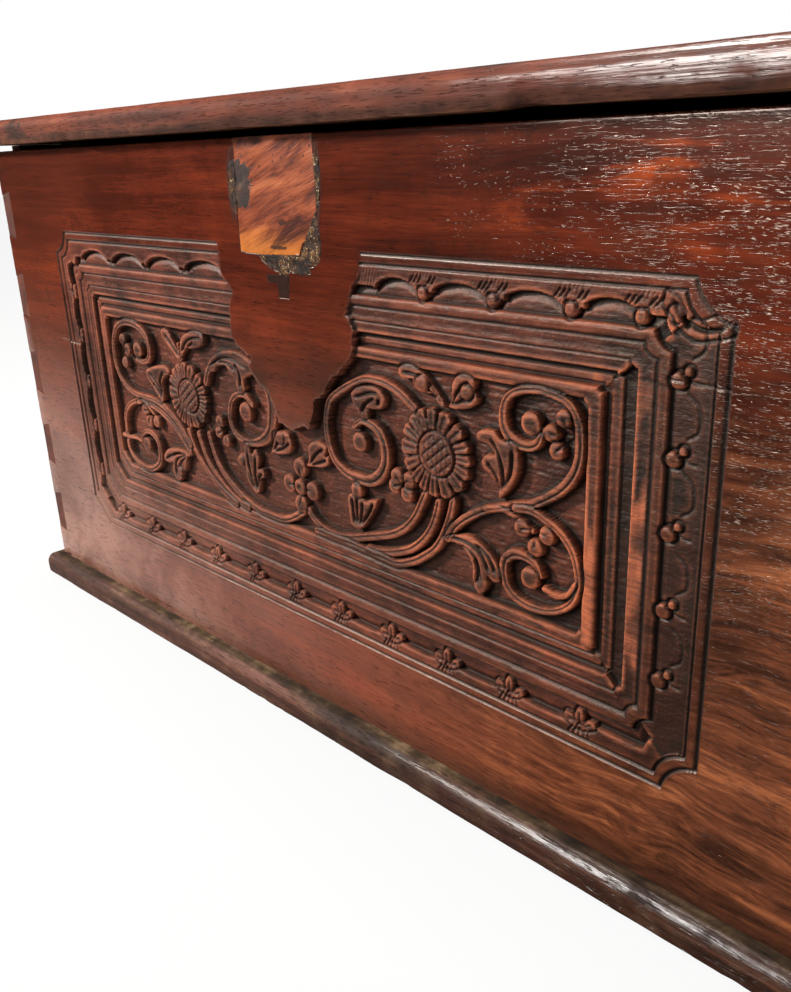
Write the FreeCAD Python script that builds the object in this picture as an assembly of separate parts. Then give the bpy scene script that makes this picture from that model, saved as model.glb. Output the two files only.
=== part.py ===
"""Damchiya chest: a dowry chest of teak planks with a carved front, a nosed base and a strap-hinged lid.

Frame, in millimetres: +X runs along the chest to the right of a person facing its front, the front faces
-Y, and +Z is up. The origin is on the floor under the middle of the chest's overall length and depth.
"""
import FreeCAD, Part
import os

V = FreeCAD.Vector

# Walls
body_length = 1050.0
body_depth = 500.0
wall_height = 520.0
front_thickness = 22.0
back_thickness = 20.0
end_thickness = 20.0
front_drop = 6.0            # the front board's top edge lies this far below the end boards' tops

# Base: three planks under the walls, projecting at the front and at both ends
base_thickness = 29.0
base_front_overhang = 18.0
base_end_overhang = 21.0
base_corner_radius = 14.0
base_nose_radius = 10.0
base_foot_radius = 5.0
base_plank_width = 178.0    # front and rear planks; the middle one fills what is left

# Lid: two planks edge to edge, on two battens
lid_thickness = 26.0
lid_front_overhang = 19.0
lid_end_overhang = 20.0
lid_corner_radius = 6.0
lid_nose_radius = 11.0
lid_seat_gap = 0.3          # between the lid's underside and the tops of the end and back boards
lid_joint_share = 0.54      # where the two planks meet, from the front edge
batten_end_gap = 29.0       # from a batten's ends to the front and back boards
batten_width = 46.0
batten_thickness = 20.0
batten_inset = 70.0         # from the end boards' inner faces
batten_bevel = 6.0

# Through dovetails: pins on the end boards, tails on the front and back boards
pin_height = 50.0
pin_flare = 4.0             # a pin is this much taller, each way, inside than outside
pin_centre_shares = (0.123, 0.304, 0.486, 0.668, 0.850)
end_joint_share = 0.577     # the end boards' two planks meet here, between two pins
back_joint_share = 0.395    # the back boards' two planks meet here, between two pins

# Carved panel in the front board
panel_left_margin = 119.0
panel_right_margin = 122.0
panel_bottom_margin = 81.0
panel_top_margin = 86.0
frame_left = 83.0
frame_right = 97.0
frame_bottom = 91.0
frame_top = 86.0
panel_corner = 28.0         # size of the canted corners of the outermost line
carving_depth = 11.0
relief_drop = 3.0           # the tops of the scrolls lie this far below the board's face
vine_width = 7.0
flower_radius = 37.0
flower_disc_radius = 17.5
flower_disc_drop = 1.5
petal_count = 16
blossom_radius = 9.0
# Each band of the sunk frame: where it starts, as a share of the frame's width, and its depth,
# as a share of the carving's depth: arcade floor, roll moulding, flat band, channel, fillet, ground
band_shares = ((0.115, 0.55), (0.41, 0.14), (0.52, 0.27), (0.73, 0.73), (0.87, 0.36), (1.0, 1.0))
# Uncarved tongue left for the lock, as shares of the panel's width and height, from its lower left corner
tongue_shares = ((0.392, 1.0), (0.393, 0.92), (0.413, 0.88), (0.403, 0.83), (0.400, 0.76), (0.412, 0.735),
                 (0.434, 0.71), (0.428, 0.68), (0.447, 0.64), (0.462, 0.61), (0.477, 0.555), (0.497, 0.535),
                 (0.520, 0.555), (0.538, 0.59), (0.549, 0.64), (0.565, 0.67), (0.572, 0.70), (0.600, 0.74),
                 (0.611, 0.76), (0.612, 0.82), (0.607, 0.86), (0.617, 0.92), (0.630, 1.0))
# Vines of the right half: points as shares of the field's half width, from the middle, and of its height
vine_shares = (
    ((0.502, 0.43), (0.467, 0.31), (0.413, 0.20), (0.331, 0.125), (0.238, 0.07), (0.137, 0.035), (0.048, 0.094)),
    ((0.547, 0.42), (0.525, 0.28), (0.467, 0.15), (0.397, 0.08), (0.286, 0.03)),
    ((0.595, 0.42), (0.572, 0.29), (0.518, 0.15), (0.445, 0.05), (0.366, 0.015)),
    ((0.493, 0.79), (0.413, 0.894), (0.302, 0.912), (0.191, 0.84), (0.127, 0.665), (0.143, 0.47), (0.242, 0.39),
     (0.340, 0.47), (0.359, 0.606), (0.315, 0.69), (0.258, 0.66)),
    ((0.575, 0.27), (0.684, 0.42), (0.827, 0.506), (0.922, 0.635), (0.957, 0.84), (0.893, 0.985), (0.779, 0.985),
     (0.741, 0.87), (0.785, 0.77), (0.839, 0.80), (0.824, 0.87)),
    ((0.575, 0.27), (0.652, 0.38), (0.773, 0.465), (0.884, 0.465), (0.957, 0.33), (0.951, 0.14), (0.852, 0.041),
     (0.760, 0.112), (0.773, 0.26), (0.859, 0.23), (0.836, 0.14)),
    ((0.563, 0.21), (0.652, 0.23), (0.722, 0.12)),
    ((0.604, 0.22), (0.661, 0.165), (0.674, 0.047)),
    ((0.722, 0.46), (0.776, 0.61), (0.770, 0.75)),
    ((0.741, 0.53), (0.747, 0.71), (0.677, 0.77)),
)
flower_shares = (0.537, 0.635)
blossom_shares = ((0.0, 0.247), (0.0, 0.36), (0.050, 0.24), (0.0, 0.153), (-0.050, 0.24))

# Lock repair in the front board: outlines in shares of the patch's width and height, from its lower left
patch_width = 105.0
patch_height = 93.0
patch_left = 472.0          # from the body's left end
patch_depth = 12.0
patch_shares = ((0.0, 0.0), (0.77, 0.0), (0.90, 0.20), (1.0, 0.37), (1.0, 1.0), (0.03, 1.0))
filler_depth = 4.0
filler_left_shares = ((0.0086, 0.29), (-0.06, 0.34), (-0.105, 0.52), (-0.09, 0.76), (0.0237, 0.84))
filler_right_shares = ((0.77, 0.0), (0.22, 0.0), (0.31, -0.12), (0.55, -0.17), (0.84, -0.16), (1.03, -0.10),
                       (1.03, 0.20), (1.07, 0.44), (1.06, 0.85), (1.0, 0.90), (1.0, 0.37), (0.90, 0.20))
plug_width = 29.0
plug_height = 19.0
plug_depth = 12.0
plug_left = 36.0            # from the patch's left side
plug_drop = 17.0            # the plug's top edge lies this far below the patch
plug_shares = ((0.48, 0.0), (0.93, 0.0), (0.93, 0.68), (1.0, 0.68), (1.0, 1.0), (0.0, 1.0), (0.0, 0.68),
               (0.48, 0.68))

# Strap hinges
strap_thickness = 3.0
strap_width = 40.0
strap_tip_width = 24.0
lid_strap_length = 268.0
back_strap_length = 150.0
hinge_pin_radius = 3.0
hinge_pin_clearance = 0.05
hinge_pin_head_radius = 4.5
hinge_pin_head_thickness = 2.0
knuckle_wall = 3.0
knuckle_gap = 0.3
hinge_back_gap = 0.3        # between the lid knuckle and the back boards
hinge_place_share = 0.30    # hinge middles, each side of the chest's middle, as a share of its length

# Nails
nail_radius = 2.0
nail_tip_radius = 1.0
nail_head_radius = 4.5
nail_head_thickness = 1.5
nail_sink = 1.0             # base and batten nail heads lie this deep in the wood
base_nail_length = 70.0
batten_nail_length = 36.0
strap_nail_length = 18.0
long_side_nail_shares = (0.05, 0.23, 0.41, 0.59, 0.77, 0.95)
end_nail_shares = ((0.66,), (0.30, 0.70), (0.34,))   # of each base plank's width, front to rear
batten_nail_shares = (0.10, 0.40, 0.70, 0.92)
lid_strap_nail_shares = (0.14, 0.37, 0.66, 0.92)
back_strap_nail_shares = (0.18, 0.48, 0.86)

# Places worked out from the sizes above
knuckle_radius = hinge_pin_radius + hinge_pin_clearance + knuckle_wall
rear_reach = hinge_back_gap + 2 * knuckle_radius
front_reach = max(lid_front_overhang, base_front_overhang)
front_y = front_reach - (front_reach + body_depth + rear_reach) / 2
back_y = front_y + body_depth
left_x = -body_length / 2
right_x = body_length / 2
wall_z = base_thickness
wall_top_z = wall_z + wall_height
front_top_z = wall_top_z - front_drop
lid_z = wall_top_z + lid_seat_gap
lid_top_z = lid_z + lid_thickness
lid_front_y = front_y - lid_front_overhang
inner_front_y = front_y + front_thickness
inner_back_y = back_y - back_thickness
hinge_y = back_y + hinge_back_gap + knuckle_radius
hinge_z = lid_z + strap_thickness - knuckle_radius
overrun = 5.0               # how far a cutting tool passes the faces that it opens


def block(x0, x1, y0, y1, z0, z1):
    """A box between two corners."""
    return Part.makeBox(x1 - x0, y1 - y0, z1 - z0, V(x0, y0, z0))


def prism(points, y0, y1):
    """An outline of (x, z) points, pushed from y0 back to y1."""
    corners = [V(x, y0, z) for x, z in points]
    face = Part.Face(Part.makePolygon(corners + corners[:1]))
    return face.extrude(V(0, y1 - y0, 0))


def fuse(shapes):
    """One shape from several that touch or overlap."""
    whole = shapes[0]
    if len(shapes) > 1:
        whole = whole.fuse(shapes[1:])
    return whole.removeSplitter()


def group(shapes):
    """Several solids that stay separate in one node."""
    return Part.makeCompound([solid for shape in shapes for solid in shape.Solids])


def nail(place, direction, length):
    """A nail with its head's outer face at the place, pointing along the direction."""
    head = Part.makeCylinder(nail_head_radius, nail_head_thickness, place, direction)
    shank = Part.makeCone(nail_radius, nail_tip_radius, length, place, direction)
    return head.fuse(shank).removeSplitter()


def sunk_hole(place, direction):
    """The hole that a sunk nail head leaves between itself and the face it went in through."""
    start = place - direction * nail_sink
    return Part.makeCylinder(nail_head_radius, nail_sink, start, direction)


def edges_where(shape, test):
    """The edges whose every corner and middle pass the test."""
    def passes(edge):
        middle = edge.valueAt((edge.FirstParameter + edge.LastParameter) / 2)
        return all(test(point) for point in [vertex.Point for vertex in edge.Vertexes] + [middle])
    return [edge for edge in shape.Edges if passes(edge)]


def nosed_slab(x0, x1, y0, y1, z0, z1, corner_radius, top_radius, foot_radius):
    """A slab whose front and end edges are rounded, with rounded front corners and a square rear edge."""
    tiny = corner_radius / 1000
    slab = block(x0, x1, y0, y1, z0, z1)
    upright = edges_where(slab, lambda p: p.y < y0 + tiny and (p.x < x0 + tiny or p.x > x1 - tiny))
    slab = slab.makeFillet(corner_radius, [edge for edge in upright if abs(edge.tangentAt(0).z) > 0.5])
    for radius, level in ((top_radius, z1), (foot_radius, z0)):
        if radius > 0:
            rim = edges_where(slab, lambda p: abs(p.z - level) < tiny and p.y < y1 - tiny)
            sides = [edge for edge in slab.Edges if is_end_edge(edge, x0, x1, level, tiny)]
            slab = slab.makeFillet(radius, unique(rim + sides))
    return slab


def is_end_edge(edge, x0, x1, level, tiny):
    """True for an edge that runs from front to back along one end at the given level."""
    points = [vertex.Point for vertex in edge.Vertexes]
    at_level = all(abs(point.z - level) < tiny for point in points)
    return at_level and (all(p.x < x0 + tiny for p in points) or all(p.x > x1 - tiny for p in points))


def unique(edges):
    """The edges without repeats."""
    kept = []
    for edge in edges:
        if not any(edge.isSame(other) for other in kept):
            kept.append(edge)
    return kept


def dovetail_pins(side, y0, y1):
    """The pins of one end board, as prisms from y0 to y1, narrow outside and wide inside."""
    outer = side * body_length / 2
    inner = side * (body_length / 2 - end_thickness)
    pins = []
    for share in pin_centre_shares:
        z = wall_z + share * wall_height
        narrow = pin_height / 2 - pin_flare / 2
        wide = pin_height / 2 + pin_flare / 2
        outline = ((outer, z - narrow), (inner, z - wide), (inner, z + wide), (outer, z + narrow))
        pins.append(prism(outline, y0, y1))
    return pins


def make_end_boards(side):
    """The two planks of one end, lower and upper, each with its pins at the front and at the back."""
    outer = side * body_length / 2
    inner = side * (body_length / 2 - end_thickness)
    plain = block(min(outer, inner), max(outer, inner), inner_front_y, inner_back_y, wall_z, wall_top_z)
    pins = dovetail_pins(side, front_y, inner_front_y) + dovetail_pins(side, inner_back_y, back_y)
    whole = fuse([plain] + pins)
    joint_z = wall_z + end_joint_share * wall_height
    span = (left_x - overrun, right_x + overrun, front_y - overrun, back_y + overrun)
    lower = whole.common(block(*span, wall_z, joint_z))
    upper = whole.common(block(*span, joint_z, wall_top_z))
    return lower, upper


def make_back_boards():
    """The two planks of the back, with tails round the end boards' pins."""
    whole = block(left_x, right_x, inner_back_y, back_y, wall_z, wall_top_z)
    whole = whole.cut(dovetail_pins(-1, inner_back_y, back_y) + dovetail_pins(1, inner_back_y, back_y))
    joint_z = wall_z + back_joint_share * wall_height
    span = (left_x, right_x, inner_back_y, back_y)
    return whole.common(block(*span, wall_z, joint_z)), whole.common(block(*span, joint_z, wall_top_z))


def panel_line(share):
    """The outline of the carved frame at a share of its width: a rectangle with canted corners."""
    x0 = left_x + panel_left_margin + share * frame_left
    x1 = right_x - panel_right_margin - share * frame_right
    z0 = wall_z + panel_bottom_margin + share * frame_bottom
    z1 = front_top_z - panel_top_margin - share * frame_top
    cut = panel_corner * (1 - share)
    if cut < vine_width / 2:
        return ((x0, z0), (x1, z0), (x1, z1), (x0, z1))
    return ((x0 + cut, z0), (x1 - cut, z0), (x1, z0 + cut), (x1, z1 - cut), (x1 - cut, z1), (x0 + cut, z1),
            (x0, z1 - cut), (x0, z0 + cut))


def panel_point(share_x, share_z):
    """A point at shares of the whole panel's width and height."""
    x0 = left_x + panel_left_margin
    x1 = right_x - panel_right_margin
    z0 = wall_z + panel_bottom_margin
    z1 = front_top_z - panel_top_margin
    return x0 + share_x * (x1 - x0), z0 + share_z * (z1 - z0)


def field_point(side, share_x, share_z):
    """A point of the sunk field: a share of its half width from the board's middle, and of its height."""
    x0 = left_x + panel_left_margin + frame_left
    x1 = right_x - panel_right_margin - frame_right
    z0 = wall_z + panel_bottom_margin + frame_bottom
    z1 = front_top_z - panel_top_margin - frame_top
    return side * share_x * (x1 - x0) / 2, z0 + share_z * (z1 - z0)


def make_panel_void():
    """The wood cut away for the sunk frame and its field, apart from the tongue left for the lock."""
    tongue = prism([panel_point(*point) for point in tongue_shares], front_y - overrun, inner_front_y)
    rings = []
    for index, (start, depth) in enumerate(band_shares):
        ring = prism(panel_line(start), front_y - overrun, front_y + depth * carving_depth)
        if index + 1 < len(band_shares):
            ring = ring.cut(prism(panel_line(band_shares[index + 1][0]), front_y - overrun, inner_front_y))
        rings.append(ring.cut(tongue))
    return rings


def make_vine(side, shares):
    """A raised band of even width along a smooth line of arcs through the given points."""
    points = [field_point(side, *share) for share in shares]
    corners = [V(x, front_y + relief_drop, z) for x, z in points]
    if len(corners) % 2 == 0:
        corners.insert(-1, (corners[-2] + corners[-1]) * 0.5)
    arcs = [Part.Arc(*corners[i:i + 3]).toShape() for i in range(0, len(corners) - 2, 2)]
    band = Part.Wire(arcs).makeOffset2D(vine_width / 2, 0, True, False, False)
    return band.extrude(V(0, carving_depth - relief_drop, 0))


def make_flower(side):
    """A sunflower: a ring of round petals about a raised disc."""
    x, z = field_point(side, *flower_shares)
    back = V(0, 1, 0)
    petal_ring = flower_radius * 0.86
    petal_radius = flower_radius * 0.18
    depth = carving_depth - relief_drop
    pieces = [Part.makeCylinder(petal_ring, depth, V(x, front_y + relief_drop, z), back)]
    for index in range(petal_count):
        turned = FreeCAD.Rotation(back, 360 * index / petal_count).multVec(V(petal_ring, 0, 0))
        pieces.append(Part.makeCylinder(petal_radius, depth, V(x, front_y + relief_drop, z) + turned, back))
    disc_depth = carving_depth - flower_disc_drop
    pieces.append(Part.makeCylinder(flower_disc_radius, disc_depth, V(x, front_y + flower_disc_drop, z), back))
    return fuse(pieces)


def make_ornament():
    """The raised carving of the field: vines, two sunflowers and the small blossom in the middle."""
    pieces = [make_vine(side, shares) for side in (-1, 1) for shares in vine_shares]
    pieces += [make_flower(-1), make_flower(1)]
    for share_x, share_z in blossom_shares:
        x, z = field_point(1, share_x, share_z)
        start = V(x, front_y + relief_drop, z)
        pieces.append(Part.makeCylinder(blossom_radius, carving_depth - relief_drop, start, V(0, 1, 0)))
    field = prism(panel_line(1.0), front_y, front_y + carving_depth)
    return [piece.common(field) for piece in pieces]


def patch_point(share_x, share_z):
    """A point at shares of the lock patch's width and height."""
    return left_x + patch_left + share_x * patch_width, front_top_z - patch_height + share_z * patch_height


def make_lock_repair():
    """The let-in patch, the filler round it and the keyhole's plug."""
    patch = prism([patch_point(*point) for point in patch_shares], front_y, front_y + patch_depth)
    filler = [prism([patch_point(*point) for point in outline], front_y, front_y + filler_depth)
              for outline in (filler_left_shares, filler_right_shares)]
    filler = [piece.cut(patch) for piece in filler]
    plug_x = left_x + patch_left + plug_left
    plug_z = front_top_z - patch_height - plug_drop - plug_height
    outline = [(plug_x + u * plug_width, plug_z + w * plug_height) for u, w in plug_shares]
    plug = prism(outline, front_y, front_y + plug_depth)
    filler = [piece.cut(plug) for piece in filler]
    return patch, filler, plug


def make_front_board():
    """The front plank with its tails and its carved panel, before the lock repair is let in."""
    board = block(left_x, right_x, front_y, inner_front_y, wall_z, front_top_z)
    board = board.cut(dovetail_pins(-1, front_y, inner_front_y) + dovetail_pins(1, front_y, inner_front_y))
    board = board.cut(make_panel_void())
    return fuse([board] + make_ornament())


def base_plank_spans():
    """The front and rear faces of each base plank, front to rear."""
    start = front_y - base_front_overhang
    return (start, start + base_plank_width), (start + base_plank_width, back_y - base_plank_width), (
        back_y - base_plank_width, back_y)


def make_base_planks():
    """Three nosed planks, side by side from front to back."""
    slab = nosed_slab(left_x - base_end_overhang, right_x + base_end_overhang,
                      front_y - base_front_overhang, back_y, 0, base_thickness,
                      base_corner_radius, base_nose_radius, base_foot_radius)
    wide = body_length
    return [slab.common(block(-wide, wide, y0, y1, 0, base_thickness)) for y0, y1 in base_plank_spans()]


def make_base_nails():
    """Nails up through the base into the walls, with the holes above their sunk heads."""
    up = V(0, 0, 1)
    places = []
    for share in long_side_nail_shares:
        x = left_x + share * body_length
        places.append(V(x, front_y + front_thickness / 2, nail_sink))
        places.append(V(x, back_y - back_thickness / 2, nail_sink))
    for (y0, y1), shares in zip(base_plank_spans(), end_nail_shares):
        for share in shares:
            y = y0 + share * (y1 - y0)
            places.append(V(left_x + end_thickness / 2, y, nail_sink))
            places.append(V(right_x - end_thickness / 2, y, nail_sink))
    return [nail(place, up, base_nail_length) for place in places], [sunk_hole(place, up) for place in places]


def make_lid_planks():
    """Two nosed planks, edge to edge."""
    slab = nosed_slab(left_x - lid_end_overhang, right_x + lid_end_overhang, lid_front_y, back_y, lid_z,
                      lid_top_z, lid_corner_radius, lid_nose_radius, 0)
    joint_y = lid_front_y + lid_joint_share * (back_y - lid_front_y)
    wide = body_length
    front = slab.common(block(-wide, wide, lid_front_y - overrun, joint_y, lid_z, lid_top_z))
    rear = slab.common(block(-wide, wide, joint_y, back_y, lid_z, lid_top_z))
    return front, rear


def make_batten(side):
    """A bevelled batten under the lid, inside the walls, with its nails and the holes over their heads."""
    middle_x = side * (body_length / 2 - end_thickness - batten_inset)
    y0 = inner_front_y + batten_end_gap
    batten_length = inner_back_y - batten_end_gap - y0
    x0 = middle_x - batten_width / 2
    bar = block(x0, x0 + batten_width, y0, y0 + batten_length, lid_z - batten_thickness, lid_z)
    low = lid_z - batten_thickness
    tiny = batten_thickness / 1000
    bar = bar.makeChamfer(batten_bevel, edges_where(bar, lambda p: abs(p.z - low) < tiny))
    up = V(0, 0, 1)
    places = [V(middle_x, y0 + share * batten_length, low + nail_sink) for share in batten_nail_shares]
    return bar, [nail(p, up, batten_nail_length) for p in places], [sunk_hole(p, up) for p in places]


def tapered_strap(middle_x, length):
    """The outline of a strap from its knuckle end at 0 to its rounded tip, as (x, distance) points."""
    half = strap_width / 2
    tip = strap_tip_width / 2
    return ((middle_x - half, 0), (middle_x + half, 0), (middle_x + half, strap_width),
            (middle_x + tip, length - tip), (middle_x + tip / 2, length), (middle_x - tip / 2, length),
            (middle_x - tip, length - tip), (middle_x - half, strap_width))


def knuckle(x0, x1):
    """One knuckle of a hinge, without its bore."""
    return Part.makeCylinder(knuckle_radius, x1 - x0, V(x0, hinge_y, hinge_z), V(1, 0, 0))


def make_hinge(side):
    """The lid strap, back strap and pin of one hinge, and the nails of each strap."""
    middle_x = side * hinge_place_share * body_length
    x0 = middle_x - strap_width / 2
    x1 = middle_x + strap_width / 2
    first = x0 + strap_width / 3
    second = x1 - strap_width / 3
    bore = Part.makeCylinder(hinge_pin_radius + hinge_pin_clearance, strap_width + 2 * overrun,
                             V(x0 - overrun, hinge_y, hinge_z), V(1, 0, 0))

    points = [V(x, back_y - d, lid_z) for x, d in tapered_strap(middle_x, lid_strap_length)]
    leaf = Part.Face(Part.makePolygon(points + points[:1])).extrude(V(0, 0, strap_thickness))
    neck = block(first + knuckle_gap, second - knuckle_gap, back_y, hinge_y, lid_z, lid_z + strap_thickness)
    lid_strap = fuse([leaf, neck, knuckle(first + knuckle_gap, second - knuckle_gap)]).cut(bore)

    top = hinge_z - knuckle_radius - knuckle_gap
    points = [V(x, back_y, top - d) for x, d in tapered_strap(middle_x, back_strap_length)]
    leaf = Part.Face(Part.makePolygon(points + points[:1])).extrude(V(0, strap_thickness, 0))
    ears = [block(low, high, back_y, back_y + strap_thickness, top, hinge_z)
            for low, high in ((x0, first), (second, x1))]
    back_strap = fuse([leaf] + ears + [knuckle(x0, first), knuckle(second, x1)]).cut(bore)

    pin_start = x0 - knuckle_gap
    pin_length = strap_width + 2 * knuckle_gap
    along = V(1, 0, 0)
    pin = fuse([Part.makeCylinder(hinge_pin_radius, pin_length, V(pin_start, hinge_y, hinge_z), along),
                Part.makeCylinder(hinge_pin_head_radius, hinge_pin_head_thickness,
                                  V(pin_start - hinge_pin_head_thickness, hinge_y, hinge_z), along),
                Part.makeCylinder(hinge_pin_head_radius, hinge_pin_head_thickness,
                                  V(pin_start + pin_length, hinge_y, hinge_z), along)])

    lid_nails = [nail(V(middle_x, back_y - share * lid_strap_length, lid_z - nail_head_thickness),
                      V(0, 0, 1), strap_nail_length) for share in lid_strap_nail_shares]
    back_nails = [nail(V(middle_x, back_y + strap_thickness + nail_head_thickness,
                         top - share * back_strap_length), V(0, -1, 0), strap_nail_length)
                  for share in back_strap_nail_shares]
    return lid_strap, back_strap, pin, lid_nails, back_nails


def make_nodes():
    """Every piece by name, with each fastener's and fitting's seat cut in what holds it."""
    nodes = {}
    base_nails, base_holes = make_base_nails()
    patch, filler, plug = make_lock_repair()
    nodes["front_board"] = make_front_board().cut([patch, plug] + filler + base_nails)
    nodes["lock_patch"] = patch
    nodes["patch_filler"] = group(filler)
    nodes["keyhole_plug"] = plug
    for side, name in ((-1, "left"), (1, "right")):
        lower, upper = make_end_boards(side)
        nodes[name + "_end_board_lower"] = lower.cut(base_nails)
        nodes[name + "_end_board_upper"] = upper
    back_lower, back_upper = make_back_boards()
    for name, plank in zip(("front", "middle", "rear"), make_base_planks()):
        nodes["base_board_" + name] = plank.cut(base_nails + base_holes)
    nodes["base_nails"] = group(base_nails)

    lid_front, lid_rear = make_lid_planks()
    batten_nails = []
    strap_nails = {"lid": [], "back": []}
    lid_straps = []
    for side, name in ((-1, "left"), (1, "right")):
        batten, nails, holes = make_batten(side)
        nodes["lid_batten_" + name] = batten.cut(nails + holes)
        batten_nails += nails
        lid_strap, back_strap, pin, lid_nails, back_nails = make_hinge(side)
        nodes["hinge_lid_strap_" + name] = lid_strap.cut(lid_nails)
        nodes["hinge_back_strap_" + name] = back_strap.cut(back_nails)
        nodes["hinge_pin_" + name] = pin
        lid_straps.append(lid_strap)
        strap_nails["lid"] += lid_nails
        strap_nails["back"] += back_nails
    nodes["back_board_lower"] = back_lower.cut(base_nails + strap_nails["back"])
    nodes["back_board_upper"] = back_upper.cut(strap_nails["back"])
    fittings = batten_nails + strap_nails["lid"] + lid_straps
    nodes["lid_board_front"] = lid_front.cut(fittings)
    nodes["lid_board_rear"] = lid_rear.cut(fittings)
    nodes["batten_nails"] = group(batten_nails)
    nodes["lid_strap_nails"] = group(strap_nails["lid"])
    nodes["back_strap_nails"] = group(strap_nails["back"])
    return nodes


def main():
    """Builds every piece and writes one STEP file for each."""
    os.makedirs("parts", exist_ok=True)
    for name, shape in make_nodes().items():
        solids = shape.Solids
        print(name, len(solids), "solids", round(shape.Volume / 1000, 1), "cm3", shape.isValid())
        if len(solids) == 1:
            shape = solids[0]
        shape.exportStep(os.path.join("parts", name + ".step"))
    print("hinge axis at y", round(hinge_y, 3), "z", round(hinge_z, 3))
    print("front face at y", round(front_y, 3), "back face at y", round(back_y, 3))


main()
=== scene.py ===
import math
import bpy
import numpy as np
from mathutils import Matrix, Vector


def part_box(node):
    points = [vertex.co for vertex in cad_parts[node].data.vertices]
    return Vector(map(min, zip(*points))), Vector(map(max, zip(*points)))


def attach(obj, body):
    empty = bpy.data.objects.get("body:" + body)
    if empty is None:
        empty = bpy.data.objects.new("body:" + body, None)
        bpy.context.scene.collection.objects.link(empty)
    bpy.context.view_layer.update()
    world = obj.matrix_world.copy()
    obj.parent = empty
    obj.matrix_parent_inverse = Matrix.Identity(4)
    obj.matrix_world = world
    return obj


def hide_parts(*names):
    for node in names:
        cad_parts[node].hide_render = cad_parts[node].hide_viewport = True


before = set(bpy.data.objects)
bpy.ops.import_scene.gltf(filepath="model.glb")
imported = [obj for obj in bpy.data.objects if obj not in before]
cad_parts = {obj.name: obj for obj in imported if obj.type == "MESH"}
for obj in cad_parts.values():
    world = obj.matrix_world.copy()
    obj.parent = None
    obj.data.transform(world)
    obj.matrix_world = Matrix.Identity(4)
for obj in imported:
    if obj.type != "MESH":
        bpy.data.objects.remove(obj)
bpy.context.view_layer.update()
MM = 0.001


# Places of the chest's parts, in metres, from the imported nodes

def corners_of(name):
    """The lowest and the highest corner of a node."""
    return [np.array(corner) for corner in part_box(name)]


(left_x, front_y, wall_z), (right_x, inner_front_y, front_top) = corners_of("front_board")
(_, _, end_joint), (_, _, wall_top) = corners_of("left_end_board_upper")
(_, inner_back_y, back_joint), (_, back_y, _) = corners_of("back_board_upper")
base_low, base_high = corners_of("base_board_front")
lid_low, lid_high = corners_of("lid_board_front")
END_THICK = 20 * MM

# The dovetail pins: the places of their middles in shares of the height, and half their width
PIN_SHARES = (0.123, 0.304, 0.486, 0.668, 0.850)
PIN_NARROW = 23 * MM
PIN_WIDE = 27 * MM
PIN_FLARE = PIN_WIDE - PIN_NARROW
pin_middles = [wall_z + share * (wall_top - wall_z) for share in PIN_SHARES]


# Camera and lamps

FILM = 36
FOCAL_SHARE = 936.107 / 992
VIEWPOINT = (0.6381, -0.7409, 0.5306)
VIEW_TURN = ((0.70565, -0.22252, 0.67271), (0.70757, 0.27168, -0.65234), (-0.03761, 0.93631, 0.34916))

# Each lamp's place, target, side, power and colour, and whether it is only mirrored
LAMPS = {
    "key": ((-2.0, -1.95, 1.75), (0.1, -0.25, 0.3), 0.35, 165, (1, 0.95, 0.88), False),
    "glint": ((-0.75, -1.9, 1.45), (0.3, -0.25, 0.4), 0.3, 18, (1, 0.97, 0.93), True),
    "sheen": ((-0.35, -1.85, 1.15), (0.4, -0.26, 0.55), 0.7, 40, (1, 0.97, 0.94), True),
    "top": ((-0.4, -0.1, 2.6), (0.1, -0.1, 0.5), 0.7, 75, (1, 0.96, 0.9), False),
    "back": ((1.8, 3.2, 2.4), (0, 0.2, 0.3), 1.2, 110, (1, 0.97, 0.93), False),
}


def put(obj):
    """Links an object to the scene."""
    bpy.context.scene.collection.objects.link(obj)
    return obj


def add_camera():
    """The photograph's viewpoint: near the right end, looking left and down along the carved front."""
    data = bpy.data.cameras.new("camera")
    data.sensor_width = FILM
    data.lens = FILM * FOCAL_SHARE
    data.clip_start = 0.02
    camera = put(bpy.data.objects.new("camera", data))
    camera.matrix_world = Matrix.Translation(VIEWPOINT) @ Matrix(VIEW_TURN).to_4x4()
    bpy.context.scene.camera = camera


def add_lamps():
    """Soft square lamps, each turned to its target."""
    for name, (place, target, side, power, colour, mirrored) in LAMPS.items():
        data = bpy.data.lights.new(name, "AREA")
        data.shape = "SQUARE"
        data.size = side
        data.energy = power
        data.color = colour
        lamp = put(bpy.data.objects.new(name, data))
        away = (Vector(place) - Vector(target)).normalized()
        lamp.matrix_world = Matrix.Translation(place) @ away.to_track_quat("Z", "Y").to_matrix().to_4x4()
        lamp.visible_diffuse = not mirrored


# Shader arithmetic

def tint(red, green, blue):
    """A colour as it looks on a screen, 0 to 255, as light."""
    shares = (red / 255, green / 255, blue / 255)
    return tuple(c / 12.92 if c < 0.0392 else ((c + 0.055) / 1.055) ** 2.4 for c in shares)


def by_grain(axis, along, across):
    """Factors for a pattern stretched along one axis."""
    return tuple(along if i == axis else across for i in range(3))


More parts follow.
